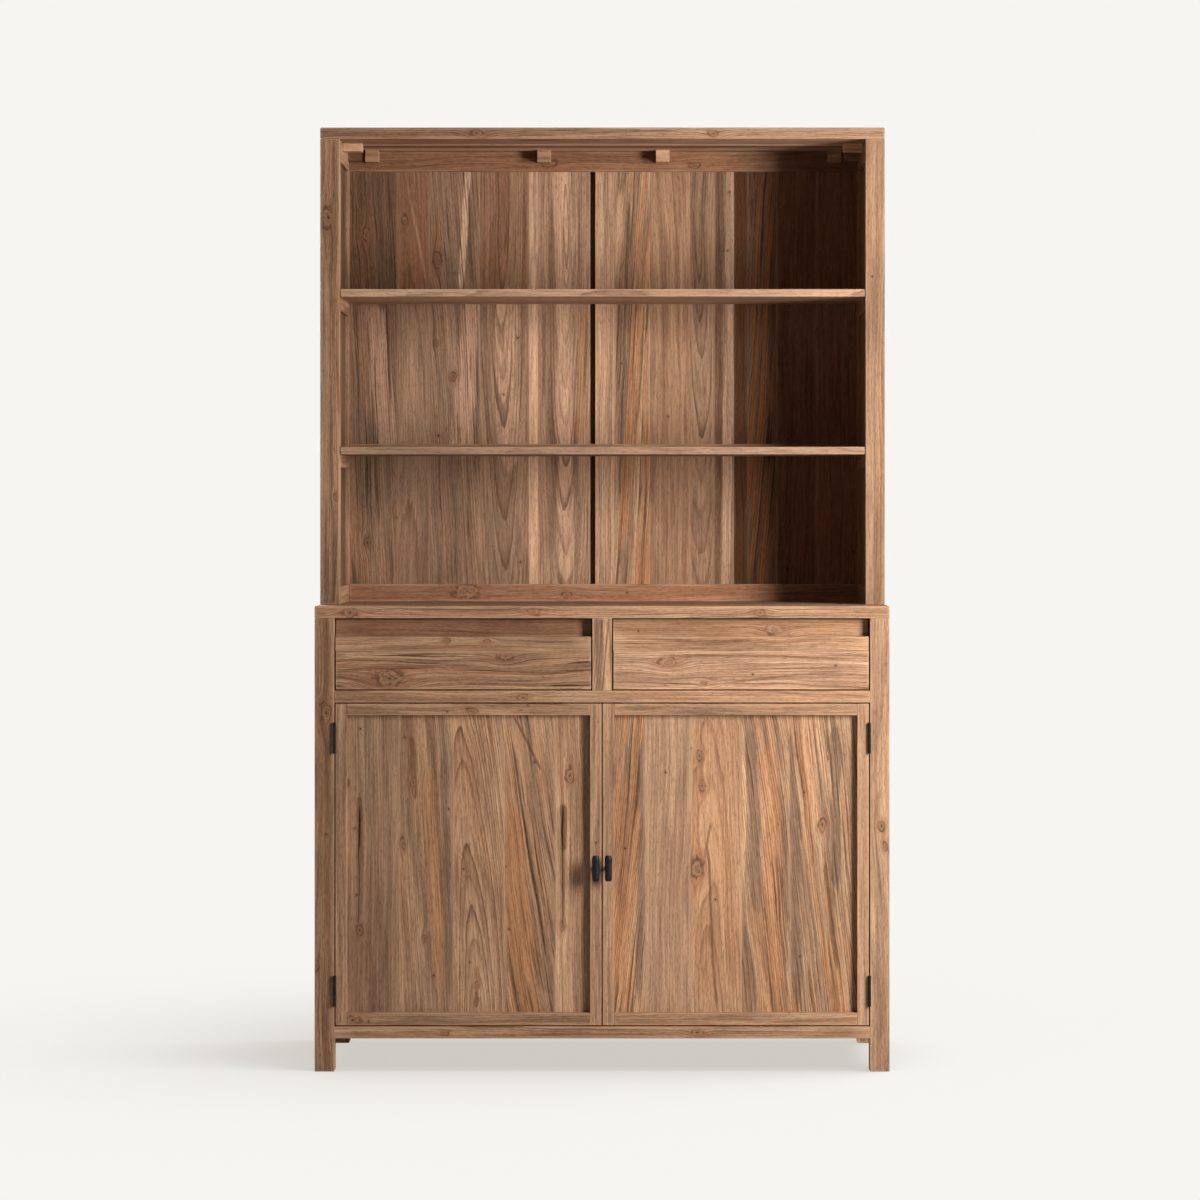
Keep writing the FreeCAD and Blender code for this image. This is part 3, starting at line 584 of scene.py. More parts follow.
# side frames: rails and planks, base and hutch
sideFrames = dict(
    base=dict(y=(front + cab["leg"], back - cab["leg"]), low=(69, 119), high=(901, 946), cuts=(.28, .5, .77),
              inside=dict(left=1, right=1)),
    # on the hutch, inside paints shade onto the inner faces of the side panels, strongest on the left
    hutch=dict(y=(cab["hutchFront"] + cab["leg"], back - cab["leg"]), low=(971, 1009), high=(1917, 1961),
               cuts=(.37, .68), inside=dict(left=.38, right=.95)),
)
sideShape = dict(rail=(-587, -559), skin=(-581, -567), cutReach=8, ease=.7)
sidePlanks = (
    dict(level=.96, grey=.4, warm=.15, rings=3.4),
    dict(heart=(0, 16), lean=(.01, .028), rings=6, warm=.35, knots=((430, 20, 8), (1500, 60, 9))),
    dict(level=1.05, warm=.5, grey=.3, lean=(.07, 0), streaks=.4, rings=5),
    dict(grey=.2, rings=3.2, knots=((700, 130, 7),)),
)
for unit, data in sideFrames.items():
    rails = Piece(unit + "_side_rails")
    (low, high), reach = data["y"], sideShape["cutReach"]
    spans = joined((low - groove, high + groove), shares((low - reach, high + reach), data["cuts"]))
    panelZ = (data["low"][1] - groove, data["high"][0] + groove)
    for word, show in (("left", "low"), ("right", "high")):
        left = word == "left"
        x, skin = (sideShape[part] if left else mirror(sideShape[part]) for part in ("rail", "skin"))
        for n, z in enumerate((data["low"], data["high"])):
            rails.board(x, data["y"], z, "y", "x", show, level=.95 + .06 * n, warm=.3, grey=.25, rings=3.8)
        panel = Piece(unit + "_side_panel_" + word)
        for span, look in zip(spans, sidePlanks if left else sidePlanks[::-1]):
            panel.board(skin, span, panelZ, "z", "x", show, sideShape["ease"], inside=data["inside"][word], **look)
        panel.place("teak_planks")
    rails.place("teak_frame")

# base back: rails, the carrier behind the drawers, muntin and planks
baseBack = dict(low=(69, 119), high=(901, 946), carrier=(197.5, 214.5), muntin=(-29, 29), open=2, z=(115, 905),
                cuts=(.19, .42, .6, .82))
backLooks = (
    dict(level=.95, grey=.35),
    dict(heart=(-390, 14), lean=(0, .04), rings=6.5, warm=.3),
    dict(level=1.06, warm=.15, grey=.1, rings=3),
    dict(lean=(-.08, 0), warm=.5, streaks=.4),
    dict(level=.98, knots=((600, -60, 8),)),
)
piece = Piece("base_back_frame")
for n, z in enumerate((baseBack["low"], baseBack["high"])):
    piece.board((-inner, inner), cab["backRail"], z, "x", "y", "high", level=.95 + .08 * n, rings=4.2,
                knots=((-260 + 500 * n, z[0] + 20, 9),))
piece.board((-inner, inner), baseBack["carrier"], cab["midRail"], "x", "y", level=1.05, warm=.15, rings=3.6)
piece.board(baseBack["muntin"], cab["muntin"], (baseBack["low"][1], baseBack["high"][0]), "z", "y", "high",
            level=1.02)
piece.place("teak_frame")
piece = Piece("base_back_panels", "baseBackPlanks")
for left in (True, False):
    gap = baseBack["open"]
    run = (-inner - groove, -gap) if left else (gap, inner + groove)
    whole = (-inner, -gap) if left else (gap, inner)
    looks = backLooks if left else backLooks[::-1]
    for span, look in zip(joined(run, shares(whole, baseBack["cuts"])), looks):
        look = dict(look)
        if "heart" in look:   # in the middle of its plank
            look["heart"] = (sum(span) / 2, look["heart"][1])
        piece.board(span, cab["backSkin"], baseBack["z"], "z", "y", "high", ease=.8, **look)
piece.place("teak_planks")

# base inside: bottom board and inner shelf
insideBoards = dict(
    bottom_board=dict(y=(-183.5, 204.5), z=(80, 94), x=558.8, cuts=(.36, .7)),
    inner_shelf=dict(y=(-161.5, 213.5), z=(422, 440), x=558, cuts=(.3, .63)),
)
for node, data in insideBoards.items():
    piece = Piece(node)
    for n, span in enumerate(joined(data["y"], shares(data["y"], data["cuts"]))):
        flame = dict(heart=(sum(span) / 2 + 30, 18), lean=(.01, .03)) if n == 1 else {}
        piece.board((-data["x"], data["x"]), span, data["z"], "x", "z", "high", level=1 + .04 * n,
                    warm=.2 + .1 * n, **flame)
    piece.place("teak_inner")
print("base boards:", count["boards"])

# hutch: posts and top
posts = dict(
    hutch_post_front_left=dict(level=.99, grey=.3, rings=3.6, contrast=.9, streaks=.35,
        knots=((1793, -584, 11), (1200, -566, 4))),
    hutch_post_front_right=dict(level=.83, warm=.45, rings=3.2, heart=(690, 25), lean=(.008, 0)),
    # the rear left post's lower level partly paints the shade inside the hutch
    hutch_post_rear_left=dict(level=.86, knots=((1430, -580, 7),)),
    hutch_post_rear_right=dict(warm=.3),
)
cornerPosts(posts, cab["hutchFront"], (cab["counter"][1], cab["top"][0]))
hutchTop = dict(
    cuts=(.35, .68),
    boards=(
        dict(warm=.15, grey=.3, rings=4, streaks=.6, contrast=.95, red=-.2,
            knots=((-268, 1973, 7), (235, 1972, 6)),
            # the honey wash on the right half and red wash on the left half paint more of the light's fall from
            # the right: painted light on the right, painted shade on the left
            strokes=((50, 1973, 640, 1973, 50, "honey", .3), (-900, 1973, 40, 1973, 40, "red", .32))),
        dict(heart=(90, 20), lean=(0, .03), rings=6, warm=.2, red=-.2,
            # the pale chalk lines and dark late line on these boards partly paint the highlight and shade that
            # grazing light gives the underside
            strokes=((-640, 60, 640, 60, 34, "chalk", .8), (-640, 100, 640, 98, 40, "late", .6))),
        dict(level=1.05, grey=.3, crack=(260, 190, 120), red=-.3,
            strokes=((-640, 162, 640, 160, 50, "chalk", .6),)),
    ),
)
slab("hutch_top", hutchTop, cab["hutchFront"], back, cab["top"], ease=2.2)

# hutch back: rails, muntin behind the open joint, planks
hutchBack = dict(
    rails=(
        dict(knots=((-302, 992, 15), (-80, 985, 6)), warm=.7, level=1.11, red=.6),
        dict(knots=((-120, 1935, 8), (200, 1930, 6)), warm=.6, level=.76, red=.6),
    ),
    railZ=((971, 1009), (1917, 1961)), muntin=(-52.5, 5.5), z=(1005, 1921),
    left=((-563, -29), (-452, -382, -272, -164, -144)),
    right=((-18, 563), (24, 103, 191, 242, 288, 317, 381, 470)),
    # the broad late and red washes from 1600 upwards, on the first, second and fourth of these planks, are painted
    # shade over the top bay
    leftPlanks=(
        dict(level=.74, heart=(-640, 20), lean=(-.045, 0), rings=5, warm=.5, grey=.6, streaks=.65, contrast=.8,
            knots=((1780, -522, 7), (1100, -520, 6)), red=-.25,
            strokes=((1800, -512, 1668, -523, 12, "orange", .8), (1650, -512, 1280, -470, 46, "sap", .95),
                     (2060, -500, 1600, -500, 170, "late", .52))),
        dict(level=.84, heart=(-418, 70), lean=(-.01, .02), rings=3.6, warm=.2, grey=.35, red=-.2,
            knots=((1811, -437, 6),),
            strokes=((2060, -420, 1600, -420, 120, "red", .75), (1905, -432, 1660, -388, 6, "honey", .42))),
        dict(level=.8, heart=(-560, 10), lean=(-.05, 0), rings=5.5, warm=.4, grey=.65, streaks=.65, contrast=.8,
            knots=((1465, -330, 6), (1722, -366, 9), (1540, -368, 4)), red=-.35,
            strokes=((2060, -288, 1630, -316, 13, "chalk", 1), (1660, -285, 1270, -316, 48, "sap", .9),
                     (1850, -360, 1650, -368, 14, "orange", .7))),
        dict(level=.86, heart=(-219, 111), lean=(0, -.06), rings=6, warm=.15, grey=.35, red=-.2, contrast=.85,
            streaks=.4,
            strokes=((2060, -219, 1600, -219, 180, "red", .62), (2025, -186, 1600, -198, 30, "pale", .4),
                     (1680, -210, 1240, -205, 48, "sap", .8))),
        dict(level=1.28, rings=2.6, warm=.1, grey=0, contrast=.35, streaks=0, red=-.4,
            strokes=((1620, -154, 1010, -154, 24, "sap", .4), (2060, -162, 1560, -151, 9, "sap", .6))),
        dict(level=.93, heart=(-86, 108), lean=(0, -.06), rings=5.5, warm=.2, grey=.5, contrast=.85, red=-.25,
            streaks=.4,
            strokes=((1640, -40, 1300, -56, 20, "orange", .5), (1900, -112, 1010, -118, 22, "late", .35),
                     (2080, -100, 900, -78, 34, "sap", .6))),
    ),
    rightPlanks=(
        dict(level=1.22, heart=(-120, 10), rings=4, warm=.2, grey=.3, contrast=.8, red=-.25,
            strokes=((1910, -2, 1010, 2, 12, "honey", .5),)),
        dict(level=1.08, heart=(-70, 5), lean=(.06, 0), rings=5, warm=.8, grey=.7, streaks=.7, contrast=.85,
            strokes=((1880, 84, 1050, 40, 13, "orange", .8), (1900, 60, 1150, 32, 7, "black", .6),
                     (1700, 96, 1100, 66, 10, "honey", .6))),
        dict(level=.86, heart=(380, 40), rings=3, warm=.1, grey=.05, red=.2, contrast=.35),
        dict(level=.825, heart=(216, 111), lean=(0, -.06), rings=5.2, warm=.15, grey=.4, contrast=1, red=-.15,
            streaks=.3),
        dict(level=.8, rings=3.4, warm=.1, grey=.5, contrast=.8, streaks=.3,
            strokes=((2100, 283, 860, 268, 20, "chalk", .6), (2100, 258, 860, 252, 18, "late", .55))),
        # the last four planks stand in the shade of the right side: the two darkest have low levels that paint
        # shade onto their front faces, lifted back on their rear faces by inside, and their rust strokes and the
        # red on all four are partly real orange streaks and partly the painted warm colour of that shade
        dict(level=.25, inside=3, rings=3.6, warm=.9, grey=0, contrast=.7, streaks=.5, red=.95,
            strokes=((2300, 302, 660, 302, 70, "rust", .8),)),
        dict(level=.49, inside=1.6, heart=(200, 5), lean=(.07, 0), rings=5.5, warm=1, grey=0, streaks=.9,
            red=.8, contrast=1,
            strokes=((2060, 380, 900, 326, 16, "rust", 1), (2060, 356, 1150, 318, 14, "rust", 1),
                     (1560, 380, 860, 344, 14, "rust", 1))),
        dict(level=.86, rings=3.4, warm=.4, grey=.15, red=.75, streaks=.4),
        dict(level=1.02, rings=3.6, warm=.4, grey=.15, red=.75, streaks=.3),
    ),
)
piece = Piece("hutch_back_rails")
for z, look in zip(hutchBack["railZ"], hutchBack["rails"]):
    piece.board((-inner, inner), cab["backRail"], z, "x", "y", rings=4.2, **look)
piece.place("teak_frame")
muntinZ = (hutchBack["railZ"][0][1], hutchBack["railZ"][1][0])
# inside=.3 paints shade onto the muntin's front face, where it shows through the open joint
Piece("hutch_back_muntin").board(hutchBack["muntin"], cab["muntin"], muntinZ, "z", "y", "high", level=.98, grey=.4,
                                 inside=.3).place("teak_frame")
for word in ("left", "right"):
    piece = Piece("hutch_back_panel_" + word, "hutchBackPlanks" + word.capitalize())
    for span, look in zip(joined(*hutchBack[word]), hutchBack[word + "Planks"]):
        # through=0 keeps the strokes, and with them the painted shade of the top bay, on the planks' front faces
        piece.board(span, cab["backSkin"], hutchBack["z"], "z", "y", ease=.8, through=0, **look)
    piece.place("teak_planks")

# hutch shelves, with the strip behind the lower one
shelves = dict(
    hutch_shelf_lower=dict(z=(1290.3, 1306.3), level=.9, warm=.1, grey=.3, rings=3, red=-.4),
    hutch_shelf_upper=dict(z=(1625.7, 1641.7), level=1.18, warm=.15, grey=.1, rings=3.2, red=-.3),
)
shelfShape = dict(x=557.5, y=(-70, 213.5), cut=.55, ear=(557.5, 566), earY=(-29, 196), earEase=.6)
for node, look in shelves.items():
    look = dict(look)
    z, level = look.pop("z"), look.pop("level")
    piece = Piece(node)
    for n, span in enumerate(joined(shelfShape["y"], shares(shelfShape["y"], (shelfShape["cut"],)))):
        piece.board((-shelfShape["x"], shelfShape["x"]), span, z, "x", "z", "high", level=level - .08 * n, **look)
    for ear in (shelfShape["ear"], mirror(shelfShape["ear"])):
        piece.board(ear, shelfShape["earY"], z, "y", "z", "high", shelfShape["earEase"], level=level, **look)
    piece.place("teak_planks")
strip = dict(x=(-558, 558), y=(202.5, 214.5), z=(1306.3, 1317.1), grain="x", thin="y", ease=.8, warm=.2, rings=3)
Piece("hutch_shelf_back_strip").board(**strip).place("teak_frame")
print("hutch boards:", count["boards"])

# glue blocks under the hutch top; their levels paint light and shade: the front left block is paler as painted
# light, the rear side block darker as painted shade, and those on the right paler still as painted light
glueBlocks = (
    dict(x=(-559, -518), y=(23.5, 58.5), drop=17, level=1.45, warm=.3, grey=0, red=-.1),
    dict(x=(-559, -525), y=(172.5, 200.5), drop=24, level=.62, warm=.2, grey=.1, red=.5),
    dict(x=(-522, -492), y=(166.5, 204.5), drop=26, level=.95, warm=.4, grey=.2, red=.4),
    dict(x=(-145, -115), y=(166.5, 204.5), drop=26, level=1, warm=.3, grey=.2, red=.2),
)
piece = Piece("hutch_top_blocks", "glueBlocks")
for data in glueBlocks:
    look = dict(data)
    x, y, drop, level = (look.pop(key) for key in ("x", "y", "drop", "level"))
    # the right blocks' level times 1.5 is painted light
    for span, lift in ((x, 1), (mirror(x), 1.5)):
        piece.board(span, y, (cab["top"][0] - drop, cab["top"][0]), "x", "z", ease=1, rings=3,
                    level=level * lift, **look)
piece.place("teak_inner")

# doors
doors = dict(
    left=dict(
        cuts=(-426, -313, -203, -98),
        planks=(
            dict(level=.81, heart=(-760, 40), lean=(.004, 0), rings=2.8, warm=.1, grey=.4, contrast=.5,
                knots=((600, -535, 5), (294, -507, 6)), crack=(430, -509, 125), red=-.1,
                strokes=((560, -514, 290, -512, 7, "pale", .6), (575, -506, 515, -505, 10, "late", .7))),
            dict(level=.93, heart=(-560, 15), lean=(-.045, 0), rings=4.2, grey=.6, streaks=.25,
                knots=((603, -395, 5), (474, -417, 6), (275, -371, 4)),
                strokes=((660, -362, 122, -337, 24, "orange", .62), (705, -399, 560, -391, 12, "late", .6),
                         (700, -335, 122, -318, 14, "grey", .7))),
            dict(level=1.14, heart=(-255, 12), lean=(-.058, .066), rings=3.9, warm=.12, grey=.12, contrast=.95,
                knots=((178, -262, 4),), strokes=((168, -263, 130, -263, 9, "late", .7),)),
            dict(heart=(-330, 5), lean=(-.16, 0), rings=5, warm=.3, grey=.65, streaks=.7,
                strokes=((600, -205, 40, -144, 64, "orange", .85), (725, -196, 210, -111, 5, "black", .75),
                         (745, -188, 620, -122, 7, "late", .7))),
            dict(level=1.12, heart=(60, 20), lean=(-.03, 0), rings=4.8, warm=.12,
                knots=((616, -68, 8), (300, -84, 5)), crack=(428, -83, 132),
                strokes=((562, -85, 455, -84, 22, "late", .75), (540, -72, 200, -76, 8, "honey", .7),
                         (640, -94, 120, -93, 10, "honey", .5))),
        ),
        frame=(
            dict(level=.94, grey=.35, rings=3.2),
            dict(level=1.02, rings=3),
            dict(knots=((-520, 108, 8), (-545, 110, 6)), grey=.35, warm=.15),
            dict(level=.96, knots=((-272, 752, 6),), grey=.35, warm=.1),
        ),
    ),
    right=dict(
        cuts=(89, 185, 292, 392),
        planks=(
            dict(level=1.04, heart=(-60, 5), lean=(.1, 0), rings=4, warm=.75, grey=.5, streaks=.75,
                contrast=.95,
                strokes=((735, 86, 120, 76, 16, "grey", .75), (640, 46, 110, 30, 34, "orange", .6),
                         (740, 62, 300, 34, 6, "grey", .8))),
            dict(level=1.1, heart=(420, 30), lean=(.006, 0), rings=2.8, warm=.05, grey=.2, contrast=.4,
                streaks=.04, red=-.15),
            dict(level=1.09, heart=(232, 14), lean=(-.02, .06), rings=6.5, grey=.05, contrast=.55,
                knots=((423, 199, 11), (658, 203, 6), (595, 209, 6)), streaks=.05,
                strokes=((760, 232, 110, 232, 260, "orange", .28), (490, 219, 110, 240, 5, "late", .75),
                         (520, 226, 440, 214, 5, "late", .6))),
            dict(level=1.05, heart=(170, 5), lean=(-.12, 0), rings=4.6, warm=.6, grey=.7, streaks=.65,
                contrast=.95,
                strokes=((740, 295, 385, 295, 8, "honey", .95), (745, 306, 300, 326, 22, "grey", .85),
                         (720, 345, 130, 372, 34, "orange", .6))),
            dict(level=1.03, heart=(650, 5), lean=(-.11, 0), rings=4.6, warm=.7, grey=.5, streaks=.65,
                contrast=.95, knots=((514, 461, 7), (655, 473, 2)),
                strokes=((745, 391, 110, 412, 26, "grey", .9), (745, 484, 360, 492, 20, "grey", .85),
                         (450, 466, 200, 493, 8, "black", .6))),
        ),
        frame=(
            dict(level=1.08, grey=.1, rings=3, red=-.15),
            dict(grey=.3, rings=3.2),
            dict(level=.98, warm=.2, grey=.35),
            dict(level=.94, grey=.5, warm=.1),
        ),
    ),
)
doorShape = dict(outer=-556.6, meet=-1.2, stile=24, low=26, thick=26, step=14, panel=8)
for word, data in doors.items():
    turn = (lambda span: span) if word == "left" else mirror
    outer, meet, wide, low = (doorShape[key] for key in ("outer", "meet", "stile", "low"))
    z, y = cab["doorZ"], (front, front + doorShape["thick"])
    skin = (front + doorShape["step"], front + doorShape["step"] + doorShape["panel"])
    body, railX = "door_" + word, turn((outer + wide, meet - wide))
    for part, x, look in (("_hinge_stile", (outer, outer + wide), data["frame"][0]),
                          ("_meeting_stile", (meet - wide, meet), data["frame"][1])):
        Piece(body + part).board(turn(x), y, z, "z", "y", ease=.8, **look).place("teak_frame", body)
    piece = Piece(body + "_rails")
    piece.board(railX, y, (z[0], z[0] + low), "x", "y", **data["frame"][2])
    piece.board(railX, y, (z[1] - wide, z[1]), "x", "y", **data["frame"][3])
    piece.place("teak_frame", body)
    piece = Piece(body + "_panel", camel(body) + "Planks")
    tall = (z[0] + low - groove, z[1] - wide + groove)
    for span, look in zip(joined((railX[0] - groove, railX[1] + groove), data["cuts"]), data["planks"]):
        piece.board(span, skin, tall, "z", "y", ease=.7, **look)
    piece.place("teak_planks", body)

# drawer fronts: a lower board, and an upper one worked into the finger pull
drawers = dict(
    left=dict(
        x=(-556.4, -23.1), knotsAt=0,
        low=dict(level=.97, heart=(800, 18), lean=(.02, .02), rings=3.6, grey=.45, contrast=1, streaks=.95,
            red=.12, knots=((-444, 822, 15), (-202, 866, 8)),
            strokes=((-556, 869, -250, 873, 11, "honey", .75), (-300, 812, -30, 806, 6, "late", .6),
                     (-560, 835, -330, 850, 7, "late", .5))),
        high=dict(level=.97, rings=3.4, warm=.3, grey=.3, knots=((-325, 900, 4), (-240, 898, 4)), streaks=.4,
            # the full-width red and late wash over the finger pull recess is painted shade
            strokes=((-900, 929, 300, 929, 44, "red", .85), (-900, 929, 300, 929, 44, "late", .42))),
    ),
    right=dict(
        x=(23.1, 556.4), knotsAt=20,
        low=dict(level=1.25, heart=(790, 22), lean=(.01, .02), rings=4.2, grey=.15, warm=.15, contrast=.8,
            streaks=.4, knots=((138, 855, 9), (232, 820, 3), (212, 810, 3)), red=-.2,
            strokes=((120, 870, 540, 862, 5, "late", .6), (250, 812, 520, 838, 5, "late", .5))),
        high=dict(level=1.13, rings=3.8, warm=.3, grey=.15, contrast=.85, streaks=.4, knots=((361, 923, 10),),
            # the full-width orange wash over the finger pull recess is painted shade
            strokes=((10, 925, 570, 925, 44, "orange", .3), (30, 905, 330, 899, 5, "late", .5))),
    ),
)
frontShape = dict(bottom=797.4, joint=877.5, lipTop=908, top=943.6, lip=10, groove=20, thick=34, floor=894,
    ease=1.4)


def arc(across, up, radius, angles, wear=0):
    turns = [math.radians(angle) for angle in angles]
    return [(across + radius * math.cos(turn), up + radius * math.sin(turn), wear) for turn in turns]


for word, data in drawers.items():
    s, body = frontShape, "drawer_" + word
    lip, hollow, rear = (front + s[key] for key in ("lip", "groove", "thick"))
    joint, top, ease, lipZ = s["joint"], s["top"], s["ease"], s["lipTop"] - s["ease"]
    bow = (s["groove"] - s["lip"]) / 2
    piece = Piece(body + "_front", "drawerFront" + word.capitalize())
    piece.board(data["x"], (front, rear), (s["bottom"], joint), "x", "y", **data["low"])
    outline = [(front + 1, joint, 1), (front, joint + 1, 1), (front, joint + 5, 0), (front, s["lipTop"] - 6, 0)]
    outline += arc(front + ease, lipZ, ease, (180, 150, 120, 90), 1)   # rolled lip
    outline += arc(lip - ease, lipZ, ease, (90, 45, 0), .7)
    outline += arc(lip + bow, s["floor"] + bow, bow, range(180, 361, 30))   # round-bottomed finger groove
    outline += [(hollow, top - 1, .3), (hollow + 1, top, .6), (rear, top, .4), (rear, joint, .2)]
    piece.profile(outline[::-1], data["x"], data["high"], front + data["knotsAt"])
    piece.place("teak_frame", body)
print("all boards:", count["boards"])

# inner pieces that keep their own solid, with teak by their grain
innerPieces = {
    ("y", "x"): ("bottom_bearers", "inner_shelf_cleats", "drawer_side_runners", "hutch_shelf_cleats",
                 "drawer_left_sides", "drawer_right_sides"),
    ("y", "z"): ("drawer_center_runner",),
    ("x", "z"): ("drawer_left_bottom", "drawer_right_bottom"),
    ("x", "y"): ("drawer_left_back", "drawer_right_back"),
}


def dress(material, *nodes):
    for node in nodes:
        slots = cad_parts[node].data.materials
        slots.clear()
        slots.append(material)


for number, ((grain, thin), nodes) in enumerate(innerPieces.items(), 1):
    dress(innerTeak(grain, thin, number), *nodes)

# iron and steel
ironLook = dict(base=(.014, .0137, .0144), worn=(.12, .118, .12), rust=(.024, .019, .016), rough=.4)
hingeLook = {**ironLook, "base": (.01, .01, .011), "worn": (.06, .06, .064)}
steelLook = dict(base=(.42, .42, .41), worn=(.6, .6, .58), rust=(.22, .17, .13), rough=.36)


def forged(name, look, metallic, dents, relief):
    surface = Surface(name)
    surface.shader["Metallic"].default_value = metallic
    spot = surface.put("TexCoord").outputs["Object"]
    hammer = surface.put("TexVoronoi", {"Vector": spot, "Scale": dents}, feature="SMOOTH_F1")
    grit = surface.noise(spot, (900, 900, 900), 3)
    cloud = surface.noise(spot, (70, 70, 70), 3)
    edge = surface.edges(.0009, .86) * surface.step(cloud, .35, .6)
    colour = surface.mix(surface.step(cloud, .52, .72, 0, .5), look["base"], look["rust"])
    colour = surface.mix(edge * .7, colour, look["worn"])
    rough = surface.step(grit, .3, .7, look["rough"] - .08, look["rough"] + .14) - edge * .1
    height = surface.math("ADD", hammer.outputs["Distance"], grit * .15)
    surface.finish(colour, rough, height, relief, .0008)
    return surface.material


blackIron = forged("blackIron", ironLook, .9, 190, .5)
hingeIron = forged("hingeIron", hingeLook, .85, 260, .3)
plateSteel = forged("plateSteel", steelLook, .9, 60, .12)
dress(hingeIron, "door_left_hinge_leaves", "door_right_hinge_leaves", "leg_hinge_leaves", "hinge_pins")
dress(plateSteel, "door_catches")


def metalPiece(name, points, faces, body, slot, material, *nodes):
    mesh = bpy.data.meshes.new(name)
    mesh.from_pydata(points, [], faces)
    mesh.validate()
    mesh.polygons.foreach_set("use_smooth", [True] * len(mesh.polygons))
    mesh.set_sharp_from_angle(angle=math.radians(38))
    addPiece(name, mesh, material, body, slot, *nodes)


def loft(rings, points, faces):
    faces += tube(len(rings), len(rings[0]), len(points))
    points += [inMetres(spot) for ring in rings for spot in ring]


# forged pulls: a hammered bar on a flared stem
pull = dict(x=13.2, z=426, width=15, thick=12, length=53, reach=27, bevel=5.4, fall=2.8, back=1.4, stem=4.4,
            foot=6.4, dent=.55, rows=15)
for sign, word in ((-1, "left"), (1, "right")):
    points, faces, rings = [], [], []
    middle, nose = sign * pull["x"], front - pull["reach"]
    hw, b, c, face = pull["width"] / 2, pull["bevel"], pull["back"], pull["thick"]
    edge = face - pull["fall"]
    outline = ((-hw, c), (-hw, edge - .9), (-hw + .6, edge), (-hw + b - .8, face - .3), (-hw + b, face), (0, face),
               (hw - b, face), (hw - b + .8, face - .3), (hw - .6, edge), (hw, edge - .9), (hw, c), (hw - c, 0),
               (-hw + c, 0))
    for row in range(pull["rows"] + 1):
        share = row / pull["rows"]
        at = pull["z"] + (share - .5) * pull["length"]
        pinch = min(1, .74 + .26 * math.sqrt(min(1, min(share, 1 - share) * 12)))   # drawn-in ends
        ring = []
        for k, (aside, out) in enumerate(outline):
            hit = abs(noise.noise(Vector((at * .14, k * 1.7, sign * 9)))) * pull["dent"]
            depth = face / 2 + (out - face / 2) * pinch * (1 - hit / face)
            ring.append((middle + aside * (pinch * (1 - hit / hw)), nose + face - depth, at))
        rings.append(ring)
    loft(rings, points, faces)
    stem, foot = pull["stem"], pull["foot"]
    turns = [2 * math.pi * k / 16 for k in range(16)]
    loft([[(middle + radius * math.cos(turn), front - out, pull["z"] + radius * math.sin(turn)) for turn in turns]
          for out, radius in ((0, foot), (2, foot), (3.2, foot * .86), (4.6, stem * 1.08), (7, stem), (12, stem),
                              (14.2, stem * 1.06), (15.6, stem * 1.12))], points, faces)
    metalPiece("pull" + word.capitalize(), points, faces, "door_" + word, "black_iron", blackIron,
               "door_" + word + "_pull")

# hinge leaves and catch strikes, a hair above the wood that they are let into, and their screws
screw = dict(radius=2.9, proud=.28, slot=.42, sides=18)
hinge = dict(low=(136.4, 664.1), heights=(11, 31.75, 52.5), depth=(-206.2, -201, -206.2), leg=559, door=556.6,
             length=63.5, leafY=(-211.3, -193.5))
strike = dict(x=(-75, -45), z=(753.6, 764.6), face=-185.5)
leafFace = dict(sunk=.5, proud=.15, edge=.12)


def spotAt(axis, out, one, two):
    spot = [one, two]
    spot.insert(axis, out)
    return tuple(spot)


def screwHead(axis, sign, out, one, two, turn, points, faces):
    # a low dome with a cut slot
    rings, proud = [], screw["proud"]
    for share, lift in ((1, -.3), (1, .35), (.86, .85), (.5, 1)):
        ring, radius = [], screw["radius"] * share
        for k in range(screw["sides"]):
            angle = 2 * math.pi * k / screw["sides"]
            inSlot = abs(math.sin(angle - turn)) * radius < screw["slot"]
            height = min(proud * lift, proud * .1) if inSlot else proud * lift
            ring.append(spotAt(axis, out + sign * height, one + radius * math.cos(angle),
                               two + radius * math.sin(angle)))
        rings.append(ring)
    loft(rings, points, faces)


def flatPlate(axis, face, sign, first, second, points, faces):
    rings, proud, edge = [], leafFace["proud"], leafFace["edge"]
    for lift, shrink in ((-leafFace["sunk"], 0), (proud - edge, 0), (proud, edge)):
        (a, b), (c, d) = ((low + shrink, high - shrink) for low, high in (first, second))
        rings.append([spotAt(axis, face + sign * lift, *corner) for corner in ((a, c), (b, c), (b, d), (a, d))])
    loft(rings, points, faces)


def turnOut(points, faces):
    # outward faces whichever way a ring was wound
    mesh = bpy.data.meshes.new("check")
    mesh.from_pydata(points, [], faces)
    bm = bmesh.new()
    bm.from_mesh(mesh)
    bpy.data.meshes.remove(mesh)
    bmesh.ops.recalc_face_normals(bm, faces=bm.faces)
    turned = [tuple(vert.index for vert in face.verts) for face in bm.faces]
    bm.free()
    return turned


dice = random.Random(5)
for owner, sides in dict(leg=(-1, 1), left=(-1,), right=(1,)).items():
    points, faces, fixed = [], [], owner == "leg"
    for side in sides:
        face, inwards = side * hinge["leg" if fixed else "door"], -side if fixed else side
        for low in hinge["low"]:
            flatPlate(0, face, inwards, hinge["leafY"], (low, low + hinge["length"]), points, faces)
            for height, depth in zip(hinge["heights"], hinge["depth"]):
                screwHead(0, inwards, face + inwards * leafFace["proud"], depth, low + height,
                          dice.uniform(0, 3.1), points, faces)
        if not fixed:
            x = strike["x"] if side < 0 else mirror(strike["x"])
            flatPlate(1, strike["face"], 1, x, strike["z"], points, faces)
    metalPiece("hingeScrews" + owner.capitalize(), points, turnOut(points, faces),
               "carcass" if fixed else "door_" + owner, "black_iron", hingeIron)

